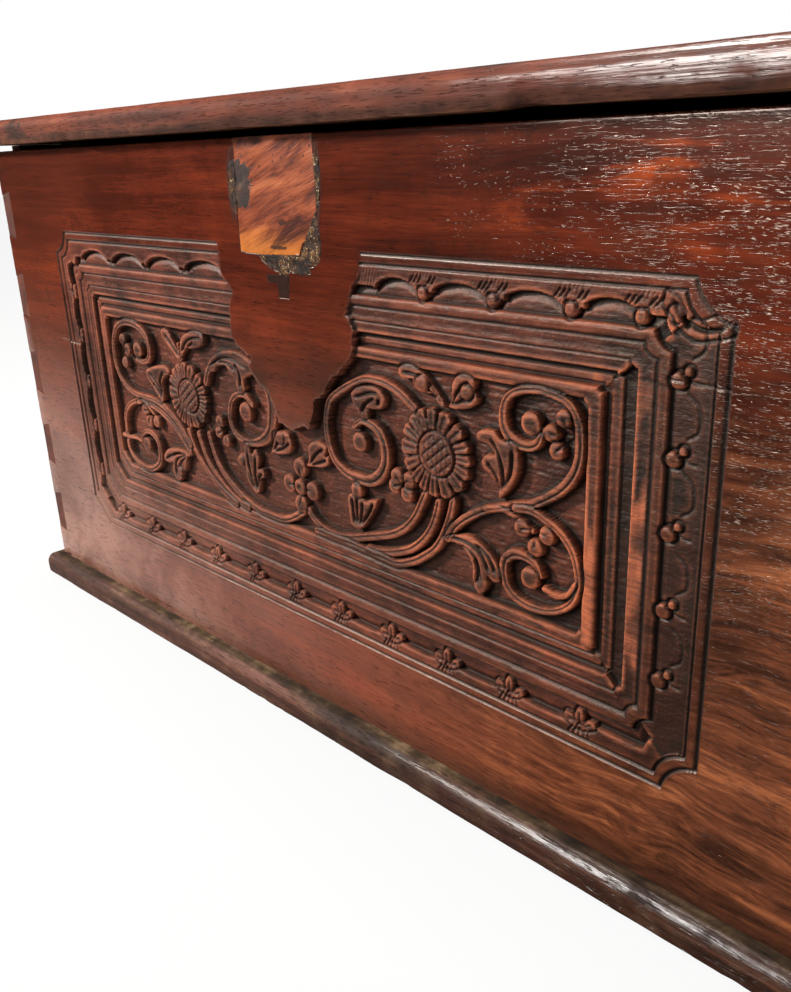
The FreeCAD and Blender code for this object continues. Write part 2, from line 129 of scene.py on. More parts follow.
class Flow:
    """A value that changes over a surface; arithmetic on it adds the Math nodes."""

    def __init__(self, finish, socket):
        self.finish = finish
        self.socket = socket

    def join(self, operation, first, second=None):
        """Two values through one Math node."""
        sockets = {0: first} if second is None else {0: first, 1: second}
        node = self.finish.node("ShaderNodeMath", {"operation": operation}, sockets)
        return Flow(self.finish, node.outputs[0])

    def __add__(self, other):
        return self.join("ADD", self, other)

    def __radd__(self, other):
        return self.join("ADD", other, self)

    def __sub__(self, other):
        return self.join("SUBTRACT", self, other)

    def __rsub__(self, other):
        return self.join("SUBTRACT", other, self)

    def __mul__(self, other):
        return self.join("MULTIPLY", self, other)

    def __rmul__(self, other):
        return self.join("MULTIPLY", other, self)

    def __truediv__(self, other):
        return self.join("DIVIDE", self, other)

    def __pow__(self, other):
        return self.join("POWER", self, other)

    def least(self, other):
        """The smaller of two values."""
        return self.join("MINIMUM", self, other)

    def most(self, other):
        """The larger of two values."""
        return self.join("MAXIMUM", self, other)

    def size(self):
        """The value without its sign."""
        return self.join("ABSOLUTE", self)

    def ease(self, low, high):
        """0 below low, 1 above high, and a smooth step between."""
        node = self.finish.node("ShaderNodeMapRange", {"interpolation_type": "SMOOTHSTEP"},
                                {"Value": self, "From Min": low, "From Max": high})
        return Flow(self.finish, node.outputs["Result"])


class Finish:
    """One material, or the nodes of a tree that is given, and the ways to add nodes to it."""

    def __init__(self, name, tree=None):
        if tree is None:
            self.material = bpy.data.materials.new(name)
            self.material.use_nodes = True
            tree = self.material.node_tree
        self.tree = tree
        self.tree.nodes.clear()
        self.place = self.node("ShaderNodeTexCoord").outputs["Object"]

    def node(self, kind, settings=None, sockets=None):
        """A node of a kind, with its settings first and then its sockets' values or links."""
        node = self.tree.nodes.new(kind)
        for key, value in (settings or {}).items():
            if key == "stops":
                elements = node.color_ramp.elements
                elements[0].position, elements[0].color = value[0]
                elements[1].position, elements[1].color = value[-1]
                for position, colour in value[1:-1]:
                    elements.new(position).color = colour
            else:
                setattr(node, key, value)
        for key, value in (sockets or {}).items():
            value = value.socket if isinstance(value, Flow) else value
            if isinstance(value, bpy.types.NodeSocket):
                self.tree.links.new(value, node.inputs[key])
            else:
                node.inputs[key].default_value = value
        return node

    def stretched(self, factors, shift=(0, 0, 0)):
        """Object coordinates times a factor for each axis, plus a shift."""
        return self.node("ShaderNodeVectorMath", {"operation": "MULTIPLY_ADD"},
                         {0: self.place, 1: factors, 2: shift}).outputs[0]

    def turn(self, angle):
        """Turns the coordinates about the axis across the front, so that x runs up to the right."""
        self.place = self.node("ShaderNodeMapping", {"vector_type": "TEXTURE"},
                               {"Vector": self.place, "Rotation": (0, -angle, 0)}).outputs[0]

    def bend(self, factors, reach):
        """Pushes the coordinates up and down by broad noise, so that patterns on them swirl."""
        push = (self.noise(factors, 2.0, 0.5, 0.5) - 0.5) * reach
        shift = self.node("ShaderNodeCombineXYZ", None, {2: push}).outputs[0]
        moved = self.node("ShaderNodeVectorMath", {"operation": "ADD"}, {0: self.place, 1: shift})
        self.place = moved.outputs[0]

    def noise(self, factors, detail, roughness=0.5, distortion=0.0, shift=(0, 0, 0)):
        """Noise on stretched coordinates, about 0.5."""
        node = self.node("ShaderNodeTexNoise", None, {"Vector": self.stretched(factors, shift), "Scale": 1.0,
                         "Detail": detail, "Roughness": roughness, "Distortion": distortion})
        return Flow(self, node.outputs[0])

    def cells(self, factors):
        """Distance to the nearest of a scatter of points."""
        node = self.node("ShaderNodeTexVoronoi", None, {"Vector": self.stretched(factors), "Scale": 1.0})
        return Flow(self, node.outputs["Distance"])

    def axis(self, index):
        """One object coordinate."""
        return Flow(self, self.node("ShaderNodeSeparateXYZ", None, {0: self.place}).outputs[index])

    def drawn(self, name):
        """A value kept on the piece's points."""
        return Flow(self, self.node("ShaderNodeAttribute", {"attribute_name": name}).outputs["Fac"])

    def seen(self):
        """1 for what the camera, a mirror or a glass sees, and 0 for the light on the chest."""
        path = self.node("ShaderNodeLightPath")
        camera, glossy, clear = (Flow(self, path.outputs["Is %s Ray" % name])
                                 for name in ("Camera", "Glossy", "Transmission"))
        return camera.most(glossy).most(clear)

    def ramp(self, value, *stops):
        """A colour from a value. Each stop is a place and a screen colour."""
        stops = [(place, (*tint(*colour), 1)) for place, *colour in stops]
        return self.node("ShaderNodeValToRGB", {"stops": stops}, {0: value}).outputs[0]

    def layers(self, colour, *over):
        """Colours laid over a first one through Mix nodes. Each is a share, and a socket or a screen
        colour."""
        for share, top in over:
            sides = (c if isinstance(c, bpy.types.NodeSocket) else (*tint(*c), 1) for c in (colour, top))
            sockets = dict(zip((0, 6, 7), (share, *sides)))
            mix = self.node("ShaderNodeMix", {"data_type": "RGBA", "clamp_factor": True}, sockets)
            colour = mix.outputs[2]
        return colour

    def shader(self, colour, roughness, bump, constants):
        """One Principled shader, with its constants on its own sockets."""
        node = self.node("ShaderNodeBsdfPrincipled", None, {"Base Color": colour, "Roughness": roughness,
                         **{key.replace("_", " "): value for key, value in constants.items()}})
        if bump is not None:
            self.tree.links.new(bump, node.inputs["Normal"])
        return node.outputs[0]

    def surface(self, colour, roughness, relief=None, depth=0.0004, polish=None, **constants):
        """The shader, its bump and the output. Polish is the share of a glossier layer that follows the bump,
        that layer's roughness and its specular level."""
        bump = None
        if relief is not None:
            sockets = {"Height": relief, "Distance": depth, "Strength": 1.0}
            bump = self.node("ShaderNodeBump", None, sockets).outputs[0]
        result = self.shader(colour, roughness, bump, constants)
        if polish is not None:
            share, gloss, level = polish
            over = self.shader(colour, gloss, bump, {**constants, "Specular_IOR_Level": level})
            result = self.node("ShaderNodeMixShader", None, {0: share, 1: result, 2: over}).outputs[0]
        self.node("ShaderNodeOutputMaterial", None, {0: result})
        return self.material

    def glow(self, colour):
        """A shader that only shines, with a strength of 1."""
        return self.node("ShaderNodeEmission", None, {"Color": colour, "Strength": 1.0}).outputs[0]


# Finishes

class Teak(Finish):
    """Wood with grain along one axis: broad figure, fine streaks, fibres and pores."""

    WARM_SHINE = (1.0, 0.84, 0.74, 1.0)

    def __init__(self, name, grain, seed):
        super().__init__(name)
        shift = (seed, seed * 1.7, seed * 0.6)
        self.figure = self.noise(by_grain(grain, 1.5, 17), 3, 0.55, 0.9, shift)
        self.streak = self.noise(by_grain(grain, 5, 110), 4, 0.6, 0.3, shift)
        self.fibre = self.noise(by_grain(grain, 22, 800), 2, 0.6, 0.0, shift)
        self.pore = self.noise(by_grain(grain, 75, 1150), 1, 0.5, 0.0, shift).ease(0.60, 0.72)
        self.cloud = self.noise((9, 9, 9), 4, 0.6, 0.4, shift)
        self.grime = self.noise((38, 38, 38), 5, 0.65, 0.2, shift)
        self.grain_height = self.fibre * 0.35 + self.streak * 0.5 - self.pore * 0.9

    def within(self):
        """1 on the faces inside the chest, which were never polished."""
        x, y = self.axis(0), self.axis(1)
        ends = (float(right_x) - END_THICK + 1 * MM - x.size()).ease(0.0, 1 * MM)
        front = (y - float(inner_front_y - 1 * MM)).ease(0.0, 1 * MM)
        return ends * front * (float(inner_back_y + 1 * MM) - y).ease(0.0, 1 * MM)

    def bare(self):
        """The colour of dry brown teak."""
        return self.ramp(self.figure * 0.5 + self.streak * 0.3 + self.grime * 0.2,
                         (0.34, 52, 31, 21), (0.48, 84, 52, 36), (0.66, 124, 84, 60))


def carved_teak():
    """The front board: polished red-brown teak, with a dark patina, worn places and painted shade in the
    hollows of the carving. Towards the right its figure curls, its open pores carry painted glints at the
    top, and it is browner below. A painted sheen pales the board at the lower left and low in the middle."""
    wood = Teak("carved_teak_front", 0, 3.1)
    cloud, grime, pore, streak = wood.cloud, wood.grime, wood.pore, wood.streak
    hollow, rub, carved, patina = (wood.drawn(name) for name in ("hollow", "rub", "carved", "patina"))
    x, z = wood.axis(0), wood.axis(2)
    right = x.ease(0.02, 0.40)
    upper = z.ease(0.30, 0.44)
    left = (-0.15 - x).ease(0.0, 0.35)
    foot = (float(wall_z) + 34 * MM - z + (cloud - 0.5) * 30 * MM).ease(0.0, 30 * MM)
    smudge = wood.noise((22, 9, 60), 4, 0.65, 0.6, (4, 0, 8)).ease(0.53, 0.66)
    wood.bend((5, 5, 7), right * 0.05)
    curl = wood.noise((5, 4, 30), 3, 0.55, 1.2, (7, 0, 3))
    # Painted glints: dots and dashes on the open pores, pale towards the upper right, standing for light
    # caught on them; the bump lifts them as well
    dots = wood.noise((260, 260, 900), 1, 0.5, 0.0, (3, 0, 9)).ease(0.66, 0.71)
    painted_glint = wood.noise((170, 170, 1500), 1, 0.5, 0.0, (3, 0, 9)).ease(0.62, 0.67)
    flock = (wood.noise((26, 26, 60), 3, 0.6, 0.8, (5, 0, 2)) + x.ease(0.34, 0.44) * 0.08).ease(0.46, 0.58)
    painted_glint = painted_glint * x.ease(0.30, 0.41) + dots * x.ease(0.16, 0.34) * 0.6
    painted_glint = painted_glint * flock * (0.02 + z.ease(0.22, 0.42) * 0.98) * (1 - carved)
    line = wood.noise((26, 26, 520), 3, 0.65, 0.2, (1, 0, 4))
    blaze = 1 - (((x - 0.33) / 0.13) ** 2 + ((z - 0.505) / 0.035) ** 2) ** 0.5
    warm = (curl * 0.8 + streak * 0.35 + blaze.most(-1.5) * 0.10 - 0.66).most(0) * right * upper
    tone = wood.figure * 0.4 + streak * 0.15 + cloud * 0.25 + line * 0.2 + warm * 2.6 - right * 0.03
    plain = wood.ramp(tone, (0.34, 36, 11, 5), (0.44, 66, 21, 10), (0.53, 90, 33, 17), (0.64, 122, 48, 21),
                      (0.90, 196, 82, 20))
    torn = wood.noise((15, 15, 125), 5, 0.72, 0.7, (6, 0, 1))
    brown = wood.ramp(wood.figure * 0.25 + torn * 0.5 + cloud * 0.25,
                      (0.42, 50, 29, 20), (0.48, 88, 50, 33), (0.53, 114, 65, 42), (0.60, 160, 96, 60))
    cut = wood.ramp(cloud * 0.4 + grime * 0.45 + line * 0.15, (0.40, 40, 17, 11), (0.5, 84, 38, 27),
                    (0.60, 122, 59, 41))
    worn = wood.layers((150, 80, 54), (right * 0.8, (182, 94, 54)))
    # Painted sheen: a pale pinkish reflection over the board's lower left
    painted_sheen = (0.30 - x).ease(0.2, 0.85) * (0.30 - z).ease(0.0, 0.24) * cloud.ease(0.35, 0.62)
    # Painted sheen: a paler tone low on the board, left of the middle, weaker on the carving
    painted_low_sheen = (0.46 - z).ease(0.0, 0.22) * (0.36 - x).ease(0.0, 0.3) * (1 - carved * 0.7)
    inner = wood.within()
    colour = wood.layers(
        plain,
        (right * (1 - upper) * 0.9, brown),
        (smudge * (0.25 + right * 0.45) * (1 - upper * 0.5), (58, 34, 24)),
        (foot * 0.6, (46, 26, 17)),
        (left * 0.5, (62, 28, 20)),
        (carved * 0.95, cut),
        (patina * (grime * 1.1 + cloud * 1.6 - 0.5).most(0.1), (28, 15, 10)),
        (rub * (grime * 1.5 + line * 1.6 + cloud * 2.4 - 2.2).most(0), worn),
        # painted shade: near black in the carving's hollows, and dark round the repair's joint
        ((hollow * 0.85).least(0.92), (10, 5, 4)),
        (pore * 0.45, (30, 12, 8)),
        (grime.ease(0.56, 0.74) * 0.5, (30, 14, 9)),
        # painted sheen at the lower left
        (painted_sheen * 0.35 * (1 - pore), (188, 150, 136)),
        # painted sheen low on the board
        (painted_low_sheen * 0.13 * (1 - pore), (176, 116, 92)),
        # painted glints on the pores
        (painted_glint * 0.75, (222, 196, 178)),
        (inner, wood.bare()))
    rough = 0.17 + cloud * 0.06 + carved * (0.12 + grime * 0.3 + rub * 0.22) + hollow * 0.2 + inner * 0.4
    grit = wood.noise((420, 420, 420), 2, 0.6, 0.0)
    height = wood.grain_height * (0.04 + x.ease(0.22, 0.44) * 0.12) + painted_glint * 1.5
    height = height + grime * (0.08 + right * 0.22)
    height = height + carved * (grime * 1.7 + grit * 0.6 + wood.fibre * 0.2 + line * 0.4)
    shine = 1 - carved * (0.95 - right * 0.4 - rub * 0.3)
    return wood.surface(colour, rough, height, 0.0006, (shine, rough, 0.42), Specular_IOR_Level=0.16,
                        Specular_Tint=Teak.WARM_SHINE)


def polished_teak(name, grain, seed):
    """The end and back boards: polished outside, bare inside."""
    wood = Teak(name, grain, seed)
    inner = wood.within()
    colour = wood.ramp(wood.figure * 0.6 + wood.streak * 0.4,
                       (0.30, 58, 26, 18), (0.47, 90, 40, 27), (0.60, 116, 54, 34), (0.80, 150, 78, 46))
    colour = wood.layers(colour, (wood.pore * 0.5, (36, 19, 14)),
                         (wood.grime.ease(0.54, 0.76) * 0.5, (46, 30, 24)), (inner, wood.bare()))
    rough = 0.30 + wood.cloud * 0.16 + wood.pore * 0.15 + inner * 0.35
    return wood.surface(colour, rough, wood.grain_height + wood.grime * 0.4, 0.0005,
                        Specular_IOR_Level=0.4, Specular_Tint=Teak.WARM_SHINE)


def end_grain():
    """The sawn ends of pins: close to the boards' colour, darker, open and dull."""
    wood = Teak("end_grain", 1, 5.5)
    colour = wood.ramp(wood.grime * 0.5 + wood.cloud * 0.5,
                       (0.36, 44, 20, 14), (0.48, 70, 32, 22), (0.58, 92, 44, 30), (0.70, 122, 74, 56))
    return wood.surface(colour, 0.5 + wood.grime * 0.2, wood.fibre * 0.5 + wood.grime, 0.0006,
                        Specular_IOR_Level=0.2)


def lid_teak():
    """The lid: worn red-brown teak with dark spots, dusty along its lower edge and bare below, its nose
    rubbed glossy towards the right."""
    wood = Teak("lid_teak_worn", 0, 8.2)
    cloud, grime, streak = wood.cloud, wood.grime, wood.streak
    x, z = wood.axis(0), wood.axis(2)
    low = (float(lid_low[2]) + 8 * MM - z + (cloud - 0.5) * 14 * MM).ease(-2 * MM, 3 * MM)
    below = (float(lid_low[2]) + 1.2 * MM - z).ease(0.0, 0.8 * MM)
    gloss = x.ease(0.19, 0.40) * (float(lid_low[1]) + 22 * MM - wood.axis(1)).ease(0.0, 12 * MM)
    spot = wood.cells((6, 14, 14)).ease(0.26, 0.10) * cloud.ease(0.50, 0.60)
    colour = wood.ramp(wood.figure * 0.4 + streak * 0.25 + cloud * 0.35,
                       (0.38, 44, 20, 13), (0.46, 72, 33, 22), (0.54, 98, 46, 30), (0.66, 140, 76, 50))
    dusty = wood.ramp(grime * 0.6 + streak * 0.4, (0.38, 38, 22, 16), (0.52, 66, 38, 27), (0.68, 98, 64, 48))
    colour = wood.layers(colour, (low * 0.85, dusty), (below * 0.85, wood.bare()),
                         (wood.pore * 0.5, (26, 12, 8)), (spot * 0.8, (24, 18, 15)))
    rubbed = gloss * (1 - low) * (streak * 0.6 + grime * 0.4).ease(0.36, 0.50)
    return wood.surface(colour, 0.6 + cloud * 0.1 + low * 0.15, wood.grain_height + grime * 0.6, 0.0005,
                        (rubbed, 0.30, 0.6), Specular_IOR_Level=0.08)


def base_teak():
    """The base: dusty dark olive-brown teak on its front ledge, with a red-brown nose that is rubbed glossy
    towards the right, and bare inside the chest."""
    wood = Teak("base_teak_dusty", 0, 12.6)
    cloud, grime, streak = wood.cloud, wood.grime, wood.streak
    x, y = wood.axis(0), wood.axis(1)
    nose = (float(base_low[1]) + 9 * MM - y + (cloud - 0.5) * 5 * MM).ease(-2 * MM, 3 * MM)
    ledge = (float(front_y) + 1 * MM - y).ease(0.0, 1 * MM)
    dust = wood.ramp(streak * 0.35 + grime * 0.65,
                     (0.38, 26, 18, 11), (0.47, 52, 38, 25), (0.55, 78, 60, 42), (0.66, 124, 102, 78))
    red = wood.ramp(wood.figure * 0.5 + streak * 0.5,
                    (0.38, 42, 22, 17), (0.5, 72, 40, 32), (0.64, 116, 72, 60))
    dull = wood.layers(red, (cloud.ease(0.42, 0.66) * 0.35, dust))
    dust = wood.layers(dust, (cloud.ease(0.50, 0.66) * 0.5, red))
    colour = wood.layers(dull, (ledge * (1 - nose * 0.75), dust), (wood.within(), wood.bare()),
                         (wood.pore * 0.5, (20, 12, 8)))
    rubbed = nose * x.ease(0.08, 0.36) * (streak * 0.5 + grime * 0.5).ease(0.38, 0.50)
    return wood.surface(colour, 0.55 + grime * 0.2, wood.grain_height + grime * 0.9, 0.0006,
                        (rubbed, 0.28, 0.6), Specular_IOR_Level=0.15)


def batten_teak():
    """Bare, dry teak of the battens."""
    wood = Teak("batten_teak", 1, 25.0)
    colour = wood.ramp(wood.figure * 0.5 + wood.streak * 0.5,
                       (0.3, 68, 43, 30), (0.5, 98, 66, 46), (0.72, 130, 94, 68))
    colour = wood.layers(colour, (wood.pore * 0.6, (60, 40, 30)))
    return wood.surface(colour, 0.6 + wood.grime * 0.15, wood.grain_height, 0.0006, Specular_IOR_Level=0.35)


def crumbs(wood, x, z, across, upward, half_wide, half_tall):
    """A crumbly patch of filler: 1 inside an uneven oval round a place of the board's face, in mm."""
    a = (x - float(left_x + across * MM)) / (half_wide * MM)
    b = (z - float(wall_z + upward * MM)) / (half_tall * MM)
    lump = wood.noise((120, 120, 120), 4, 0.7, 0.4)
    return (1 - (a * a + b * b) ** 0.5 + (lump - 0.5) * 2.2).ease(0.0, 0.14)


def patch_teak():
    """The let-in patch: newer copper wood with slanted dark bands, yellow at the bottom, with dark filler
    smeared over its left edge, a nick and a few worm holes."""
    wood = Teak("patch_wood_orange", 0, 20.4)
    x, z = wood.axis(0), wood.axis(2)
    worm = wood.cells((110, 60, 110)).ease(0.17, 0.10)
    worm = worm * z.ease(float(front_top) - 34 * MM, float(front_top) - 22 * MM)
    smear = crumbs(wood, x, z, 482, 478, 15, 22)
    nick = crumbs(wood, x, z, 534, 447, 5, 2.6).most(crumbs(wood, x, z, 526, 427, 11, 1.8))
    wood.turn(0.37)
    band = wood.noise((11, 40, 46), 4, 0.6, 1.2, (2.3, 0, 5))
    fine = wood.noise((60, 60, 700), 3, 0.6, 0.2, (2, 0, 5))
    low = (float(wall_z + 436 * MM) - z + (band - 0.5) * 60 * MM).ease(-14 * MM, 18 * MM)
    dirt = wood.ramp(wood.grime, (0.40, 13, 7, 5), (0.55, 36, 20, 12), (0.68, 96, 64, 36))
    colour = wood.ramp(band * 0.8 + fine * 0.2,
                       (0.38, 62, 22, 10), (0.45, 104, 44, 20), (0.52, 136, 66, 36), (0.66, 168, 94, 56))
    colour = wood.layers(colour, (low * (0.2 + fine * 0.6), (208, 126, 40)),
                         (worm.most(nick) * 0.85, (50, 26, 18)), (smear * 0.94, dirt))
    height = fine * 0.5 + band * 0.5 + smear * wood.grime
    return wood.surface(colour, 0.32 + wood.grime * 0.15 + smear * 0.2, height, 0.0006,
                        Specular_IOR_Level=0.18)


def filler_wax():
    """Crumbly dark filler with brassy specks."""
    wax = Finish("filler_crumbly")
    lump = wax.noise((260, 260, 260), 4, 0.75)
    broad = wax.noise((70, 70, 70), 3, 0.6)
    speck = wax.noise((620, 620, 620), 2, 0.6).ease(0.56, 0.66)
    colour = wax.ramp(lump * 0.6 + broad * 0.4,
                      (0.40, 18, 8, 4), (0.49, 46, 23, 10), (0.56, 82, 49, 22), (0.66, 140, 100, 52))
    colour = wax.layers(colour, (speck * broad.ease(0.44, 0.56) * 0.9, (206, 182, 138)))
    return wax.surface(colour, 0.5 + lump * 0.2, lump + speck * 0.5, 0.0012, Specular_IOR_Level=0.12)


def plug_wood():
    """The keyhole's dark plug."""
    wood = Teak("plug_wood_dark", 0, 31.0)
    colour = wood.ramp(wood.streak * 0.5 + wood.cloud * 0.5, (0.36, 30, 12, 8), (0.62, 56, 27, 18))
    return wood.surface(colour, 0.6 + wood.grime * 0.2, wood.grain_height, 0.0005, Specular_IOR_Level=0.05)


def wrought_iron():
    """Hand-forged iron, brown-black, with soft blotches of rust."""
    iron = Finish("wrought_iron_rusty")
    dent = iron.noise((55, 55, 55), 3, 0.5)
    fine = iron.noise((420, 420, 420), 3, 0.6)
    tone = iron.noise((38, 38, 38), 4, 0.6, 0.4) * 0.75 + fine * 0.25
    colour = iron.ramp(tone, (0.40, 44, 40, 38), (0.52, 60, 50, 44), (0.64, 96, 58, 38))
    metal = 0.8 - tone.ease(0.46, 0.62) * 0.6
    return iron.surface(colour, 0.45 + tone * 0.25, dent * 1.5 + fine * 0.3, 0.0008, Metallic=metal)


# Meshes from whole arrays

def mottle(places, seed):
    """Seeded value noise: random numbers at whole places, eased between them, about zero."""
    places = np.asarray(places, float)
    table = np.random.default_rng(seed).random((32,) * places.shape[-1])
    cell = np.floor(places).astype(int)
    part = places - cell
    part = part * part * (3 - 2 * part)
    total = np.zeros(places.shape[:-1])
    for corner in np.ndindex((2,) * places.shape[-1]):
        corner = np.array(corner)
        weight = np.prod(np.where(corner == 1, part, 1 - part), axis=-1)
        total += weight * table[tuple(np.moveaxis((cell + corner) % 32, -1, 0))]
    return total - 0.5


class Form:
    """The points and faces of one piece, gathered part by part, with values kept on its points."""

    def __init__(self):
        self.points = []
        self.faces = []
        self.paints = []
        self.count = 0

    def add(self, points, faces, paint=0):
        """Adds a part: its points, and its faces as arrays of one face a row, with a paint's number."""
        self.points.append(points.reshape(-1, 3))
        self.faces += [rows + self.count for rows in faces]
        self.paints += [np.full(len(rows), paint) for rows in faces]
        self.count += self.points[-1].shape[0]

    def add_tube(self, points, paint=0):
        """Adds rings of points, one a row, joined to each other and closed by a face at either end."""
        rows, around = points.shape[:2]
        low_end = np.arange(around)[None, ::-1]
        high_end = (np.arange(around) + (rows - 1) * around)[None]
        self.add(points, [quads(rows, around, True), low_end, high_end], paint)

    def piece(self, name, body, finishes, stands_for, crease=40, normals=None, kept=None):
        """The finished object: mesh, materials, the body it rides on and the nodes it replaces."""
        mesh = bpy.data.meshes.new(name)
        points = np.concatenate(self.points).astype(np.float32)
        loops = np.concatenate([rows.ravel() for rows in self.faces]).astype(np.int32)
        sizes = np.concatenate([np.full(len(rows), rows.shape[1]) for rows in self.faces])
        starts = np.concatenate([[0], np.cumsum(sizes)[:-1]]).astype(np.int32)
        mesh.vertices.add(len(points))
        mesh.vertices.foreach_set("co", points.ravel())
        mesh.loops.add(len(loops))
        mesh.loops.foreach_set("vertex_index", loops)
        mesh.polygons.add(len(starts))
        mesh.polygons.foreach_set("loop_start", starts)
        mesh.polygons.foreach_set("material_index", np.concatenate(self.paints).astype(np.int32))
        mesh.update(calc_edges=True)
        mesh.validate()
        mesh.shade_smooth()
        mesh.set_sharp_from_angle(angle=math.radians(crease))
        for key, values in (kept or {}).items():
            mesh.attributes.new(key, "FLOAT", "POINT").data.foreach_set("value", values.astype(np.float32))
        if normals is not None:
            mesh.normals_split_custom_set(normals[loops])
        for finish in finishes:
            mesh.materials.append(finish)
        obj = put(bpy.data.objects.new(name, mesh))
        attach(obj, body)
        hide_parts(*stands_for)


def quads(rows, columns, closed=False):
    """Faces of a grid of points; closed joins the last column to the first."""
    r, c = np.mgrid[0:rows - 1, 0:columns if closed else columns - 1]
    r, c = r.ravel(), c.ravel()
    n = (c + 1) % columns
    return np.column_stack([r * columns + c, r * columns + n, (r + 1) * columns + n, (r + 1) * columns + c])


def ring(a0, a1, b0, b1, radii, steps):
    """A closed line round a rectangle with rounded corners: each corner is a quarter arc of its radius in
    five steps, and each side is divided evenly."""
    corners = ((a0, b0, 1, 1, 180), (a1, b0, -1, 1, 270), (a1, b1, -1, -1, 0), (a0, b1, 1, -1, 90))
    arcs = []
    for (a, b, da, db, start), radius in zip(corners, radii):
        angle = np.radians(start + np.linspace(0, 90, 6))
        arcs.append(np.column_stack([a + radius * (da + np.cos(angle)), b + radius * (db + np.sin(angle))]))
    parts = []
    for i, points in enumerate(arcs):
        parts.append(points)
        share = np.linspace(0, 1, steps[i % 2] + 1)[1:-1, None]
        parts.append(points[-1] * (1 - share) + arcs[(i + 1) % 4][0] * share)
    return np.concatenate(parts)


def quarter(radius, count):
    """A rounded edge as (inset, height) pairs, from the face inwards to the side."""
    angle = np.linspace(0, math.pi / 2, count + 1)
    return np.column_stack([radius * (1 - np.sin(angle)), radius * (1 - np.cos(angle))])


def nosed(height, foot, nose, steps):
    """The side of a plank as (inset, height) pairs: a rounded lower and upper edge, each from its radius and
    its number of steps, and even steps between them."""
    foot, nose = quarter(*foot), quarter(*nose)
    nose = np.column_stack([nose[::-1, 0], height - nose[::-1, 1]])
    flat = np.linspace(foot[-1, 1], nose[0, 1], steps + 1)[1:-1]
    return np.concatenate([foot, np.column_stack([0 * flat, flat]), nose])


def softened(height):
    """The side of a wall plank: both edges rounded by 1 mm."""
    return nosed(height, (1 * MM, 4), (1 * MM, 4), 2)


def add_plank(form, low, high, up, profile, wear, sides=(1, 1, 1, 1), corner=0.5 * MM, flare=None,
              step=8 * MM, paint=0):
    """A plank as rings stacked along its up axis. The profile gives each ring's inset from the sides that
    have one, and its height; flare is the extra inset of the second pair of sides; wear moves the points."""
    order = {0: (1, 2, 0), 1: (2, 0, 1), 2: (0, 1, 2)}[up]
    low, high = np.array(low, float)[list(order)], np.array(high, float)[list(order)]
    steps = [max(2, int(math.ceil((high[i] - low[i]) / step))) for i in (0, 1)]
    flare = np.zeros(len(profile)) if flare is None else flare
    rings = []
    for (inset, height), extra in zip(profile, flare):
        a0, a1 = low[0] + inset * sides[0], high[0] - inset * sides[1]
        b0, b1 = low[1] + inset * sides[2] + extra, high[1] - inset * sides[3] - extra
        radii = np.maximum(np.broadcast_to(corner, 4) - inset, 0.05 * MM)
        flat = ring(a0, a1, b0, b1, radii, steps)
        rings.append(np.column_stack([flat, np.full(len(flat), low[2] + height)]))
    rings = np.stack(rings)
    points = np.empty_like(rings)
    points[..., list(order)] = rings
    form.add_tube(wear(points), paint)


def knocked(strength, length, seed):
    """Wear for a plank's edges: every point moves by seeded noise of two sizes."""
    def moved(places, first_seed, shifts):
        return np.stack([mottle(places + shift, first_seed + i) for i, shift in enumerate(shifts)], axis=-1)

    def wear(points):
        places = points / length
        return points + strength * (moved(places, seed, (0.0, 7.3, 13.9))
                                    + 0.4 * moved(places * 3.7, seed + 5, (2.1, 4.7, 9.2)))
    return wear


# The carved front. Places are in mm on the board's face: u from the body's left end, w up from the base.

BOARD_TOP = (front_top - wall_z) / MM
CELLS = 32
PANEL = (119.0, 928.0, 81.0, 428.0)
GROUND = 11.0

MIDDLE_U, MIDDLE_W = 520, 250

# Widths of the frame's sides; the top side's at the left and at the right of the middle
LEFT_WIDE, RIGHT_WIDE, LOW_WIDE = 83.0, 97.0, 91.0
TOP_WIDE = (88.0, 83.5)


def lattice(*spans):
    """Grid lines over spans that follow each other: each has its first and last place and its cells."""
    return np.concatenate([spans[0][:1], *(np.linspace(*span[:2], span[2] + 1)[1:] for span in spans)])


u_lines = lattice((20, 112, 32), (112, 932, 896), (932, 1030, 32))
w_lines = lattice((0, 76, 16), (76, 432, 384), (432, 506, 8))
w_lines = np.concatenate([w_lines, BOARD_TOP - np.array([4.5, 2.5, 1.5, 0.9, 0.5, 0.2, 0.05, 0.0])])
U, W = np.meshgrid(u_lines, w_lines)

# The sunk frame's section: share of its width from the outer line, and depth
SECTION = np.array([
    (-0.006, 0.0), (0.002, 1.9), (0.016, 2.1), (0.03, 0.8), (0.05, 0.5), (0.088, 0.7), (0.1, 3.0),
    (0.112, 3.0), (0.122, 1.3), (0.16, 1.1), (0.21, 1.6), (0.222, 6.3), (0.375, 6.5), (0.388, 5.8),
    (0.395, 2.6), (0.412, 1.6), (0.44, 1.2), (0.47, 1.7), (0.49, 3.0), (0.501, 4.6), (0.513, 3.1),
    (0.57, 3.7), (0.628, 3.1), (0.64, 5.0), (0.652, 3.5), (0.7, 3.9), (0.742, 3.6), (0.756, 8.6),
    (0.785, 8.8), (0.797, 6.9), (0.85, 7.1), (0.862, 8.8), (0.876, 8.6), (0.888, 4.4), (0.905, 3.7),
    (0.94, 3.5), (0.985, 3.9), (0.997, 4.8), (1.01, GROUND), (1.2, GROUND),
])

# Where the right side's section differs
RIGHT_SECTION = np.array([
    (0.64, 5.0), (0.652, 8.8), (0.7, 9.0), (0.742, 8.8), (0.756, 7.2), (0.83, 7.4), (0.86, 8.8),
])

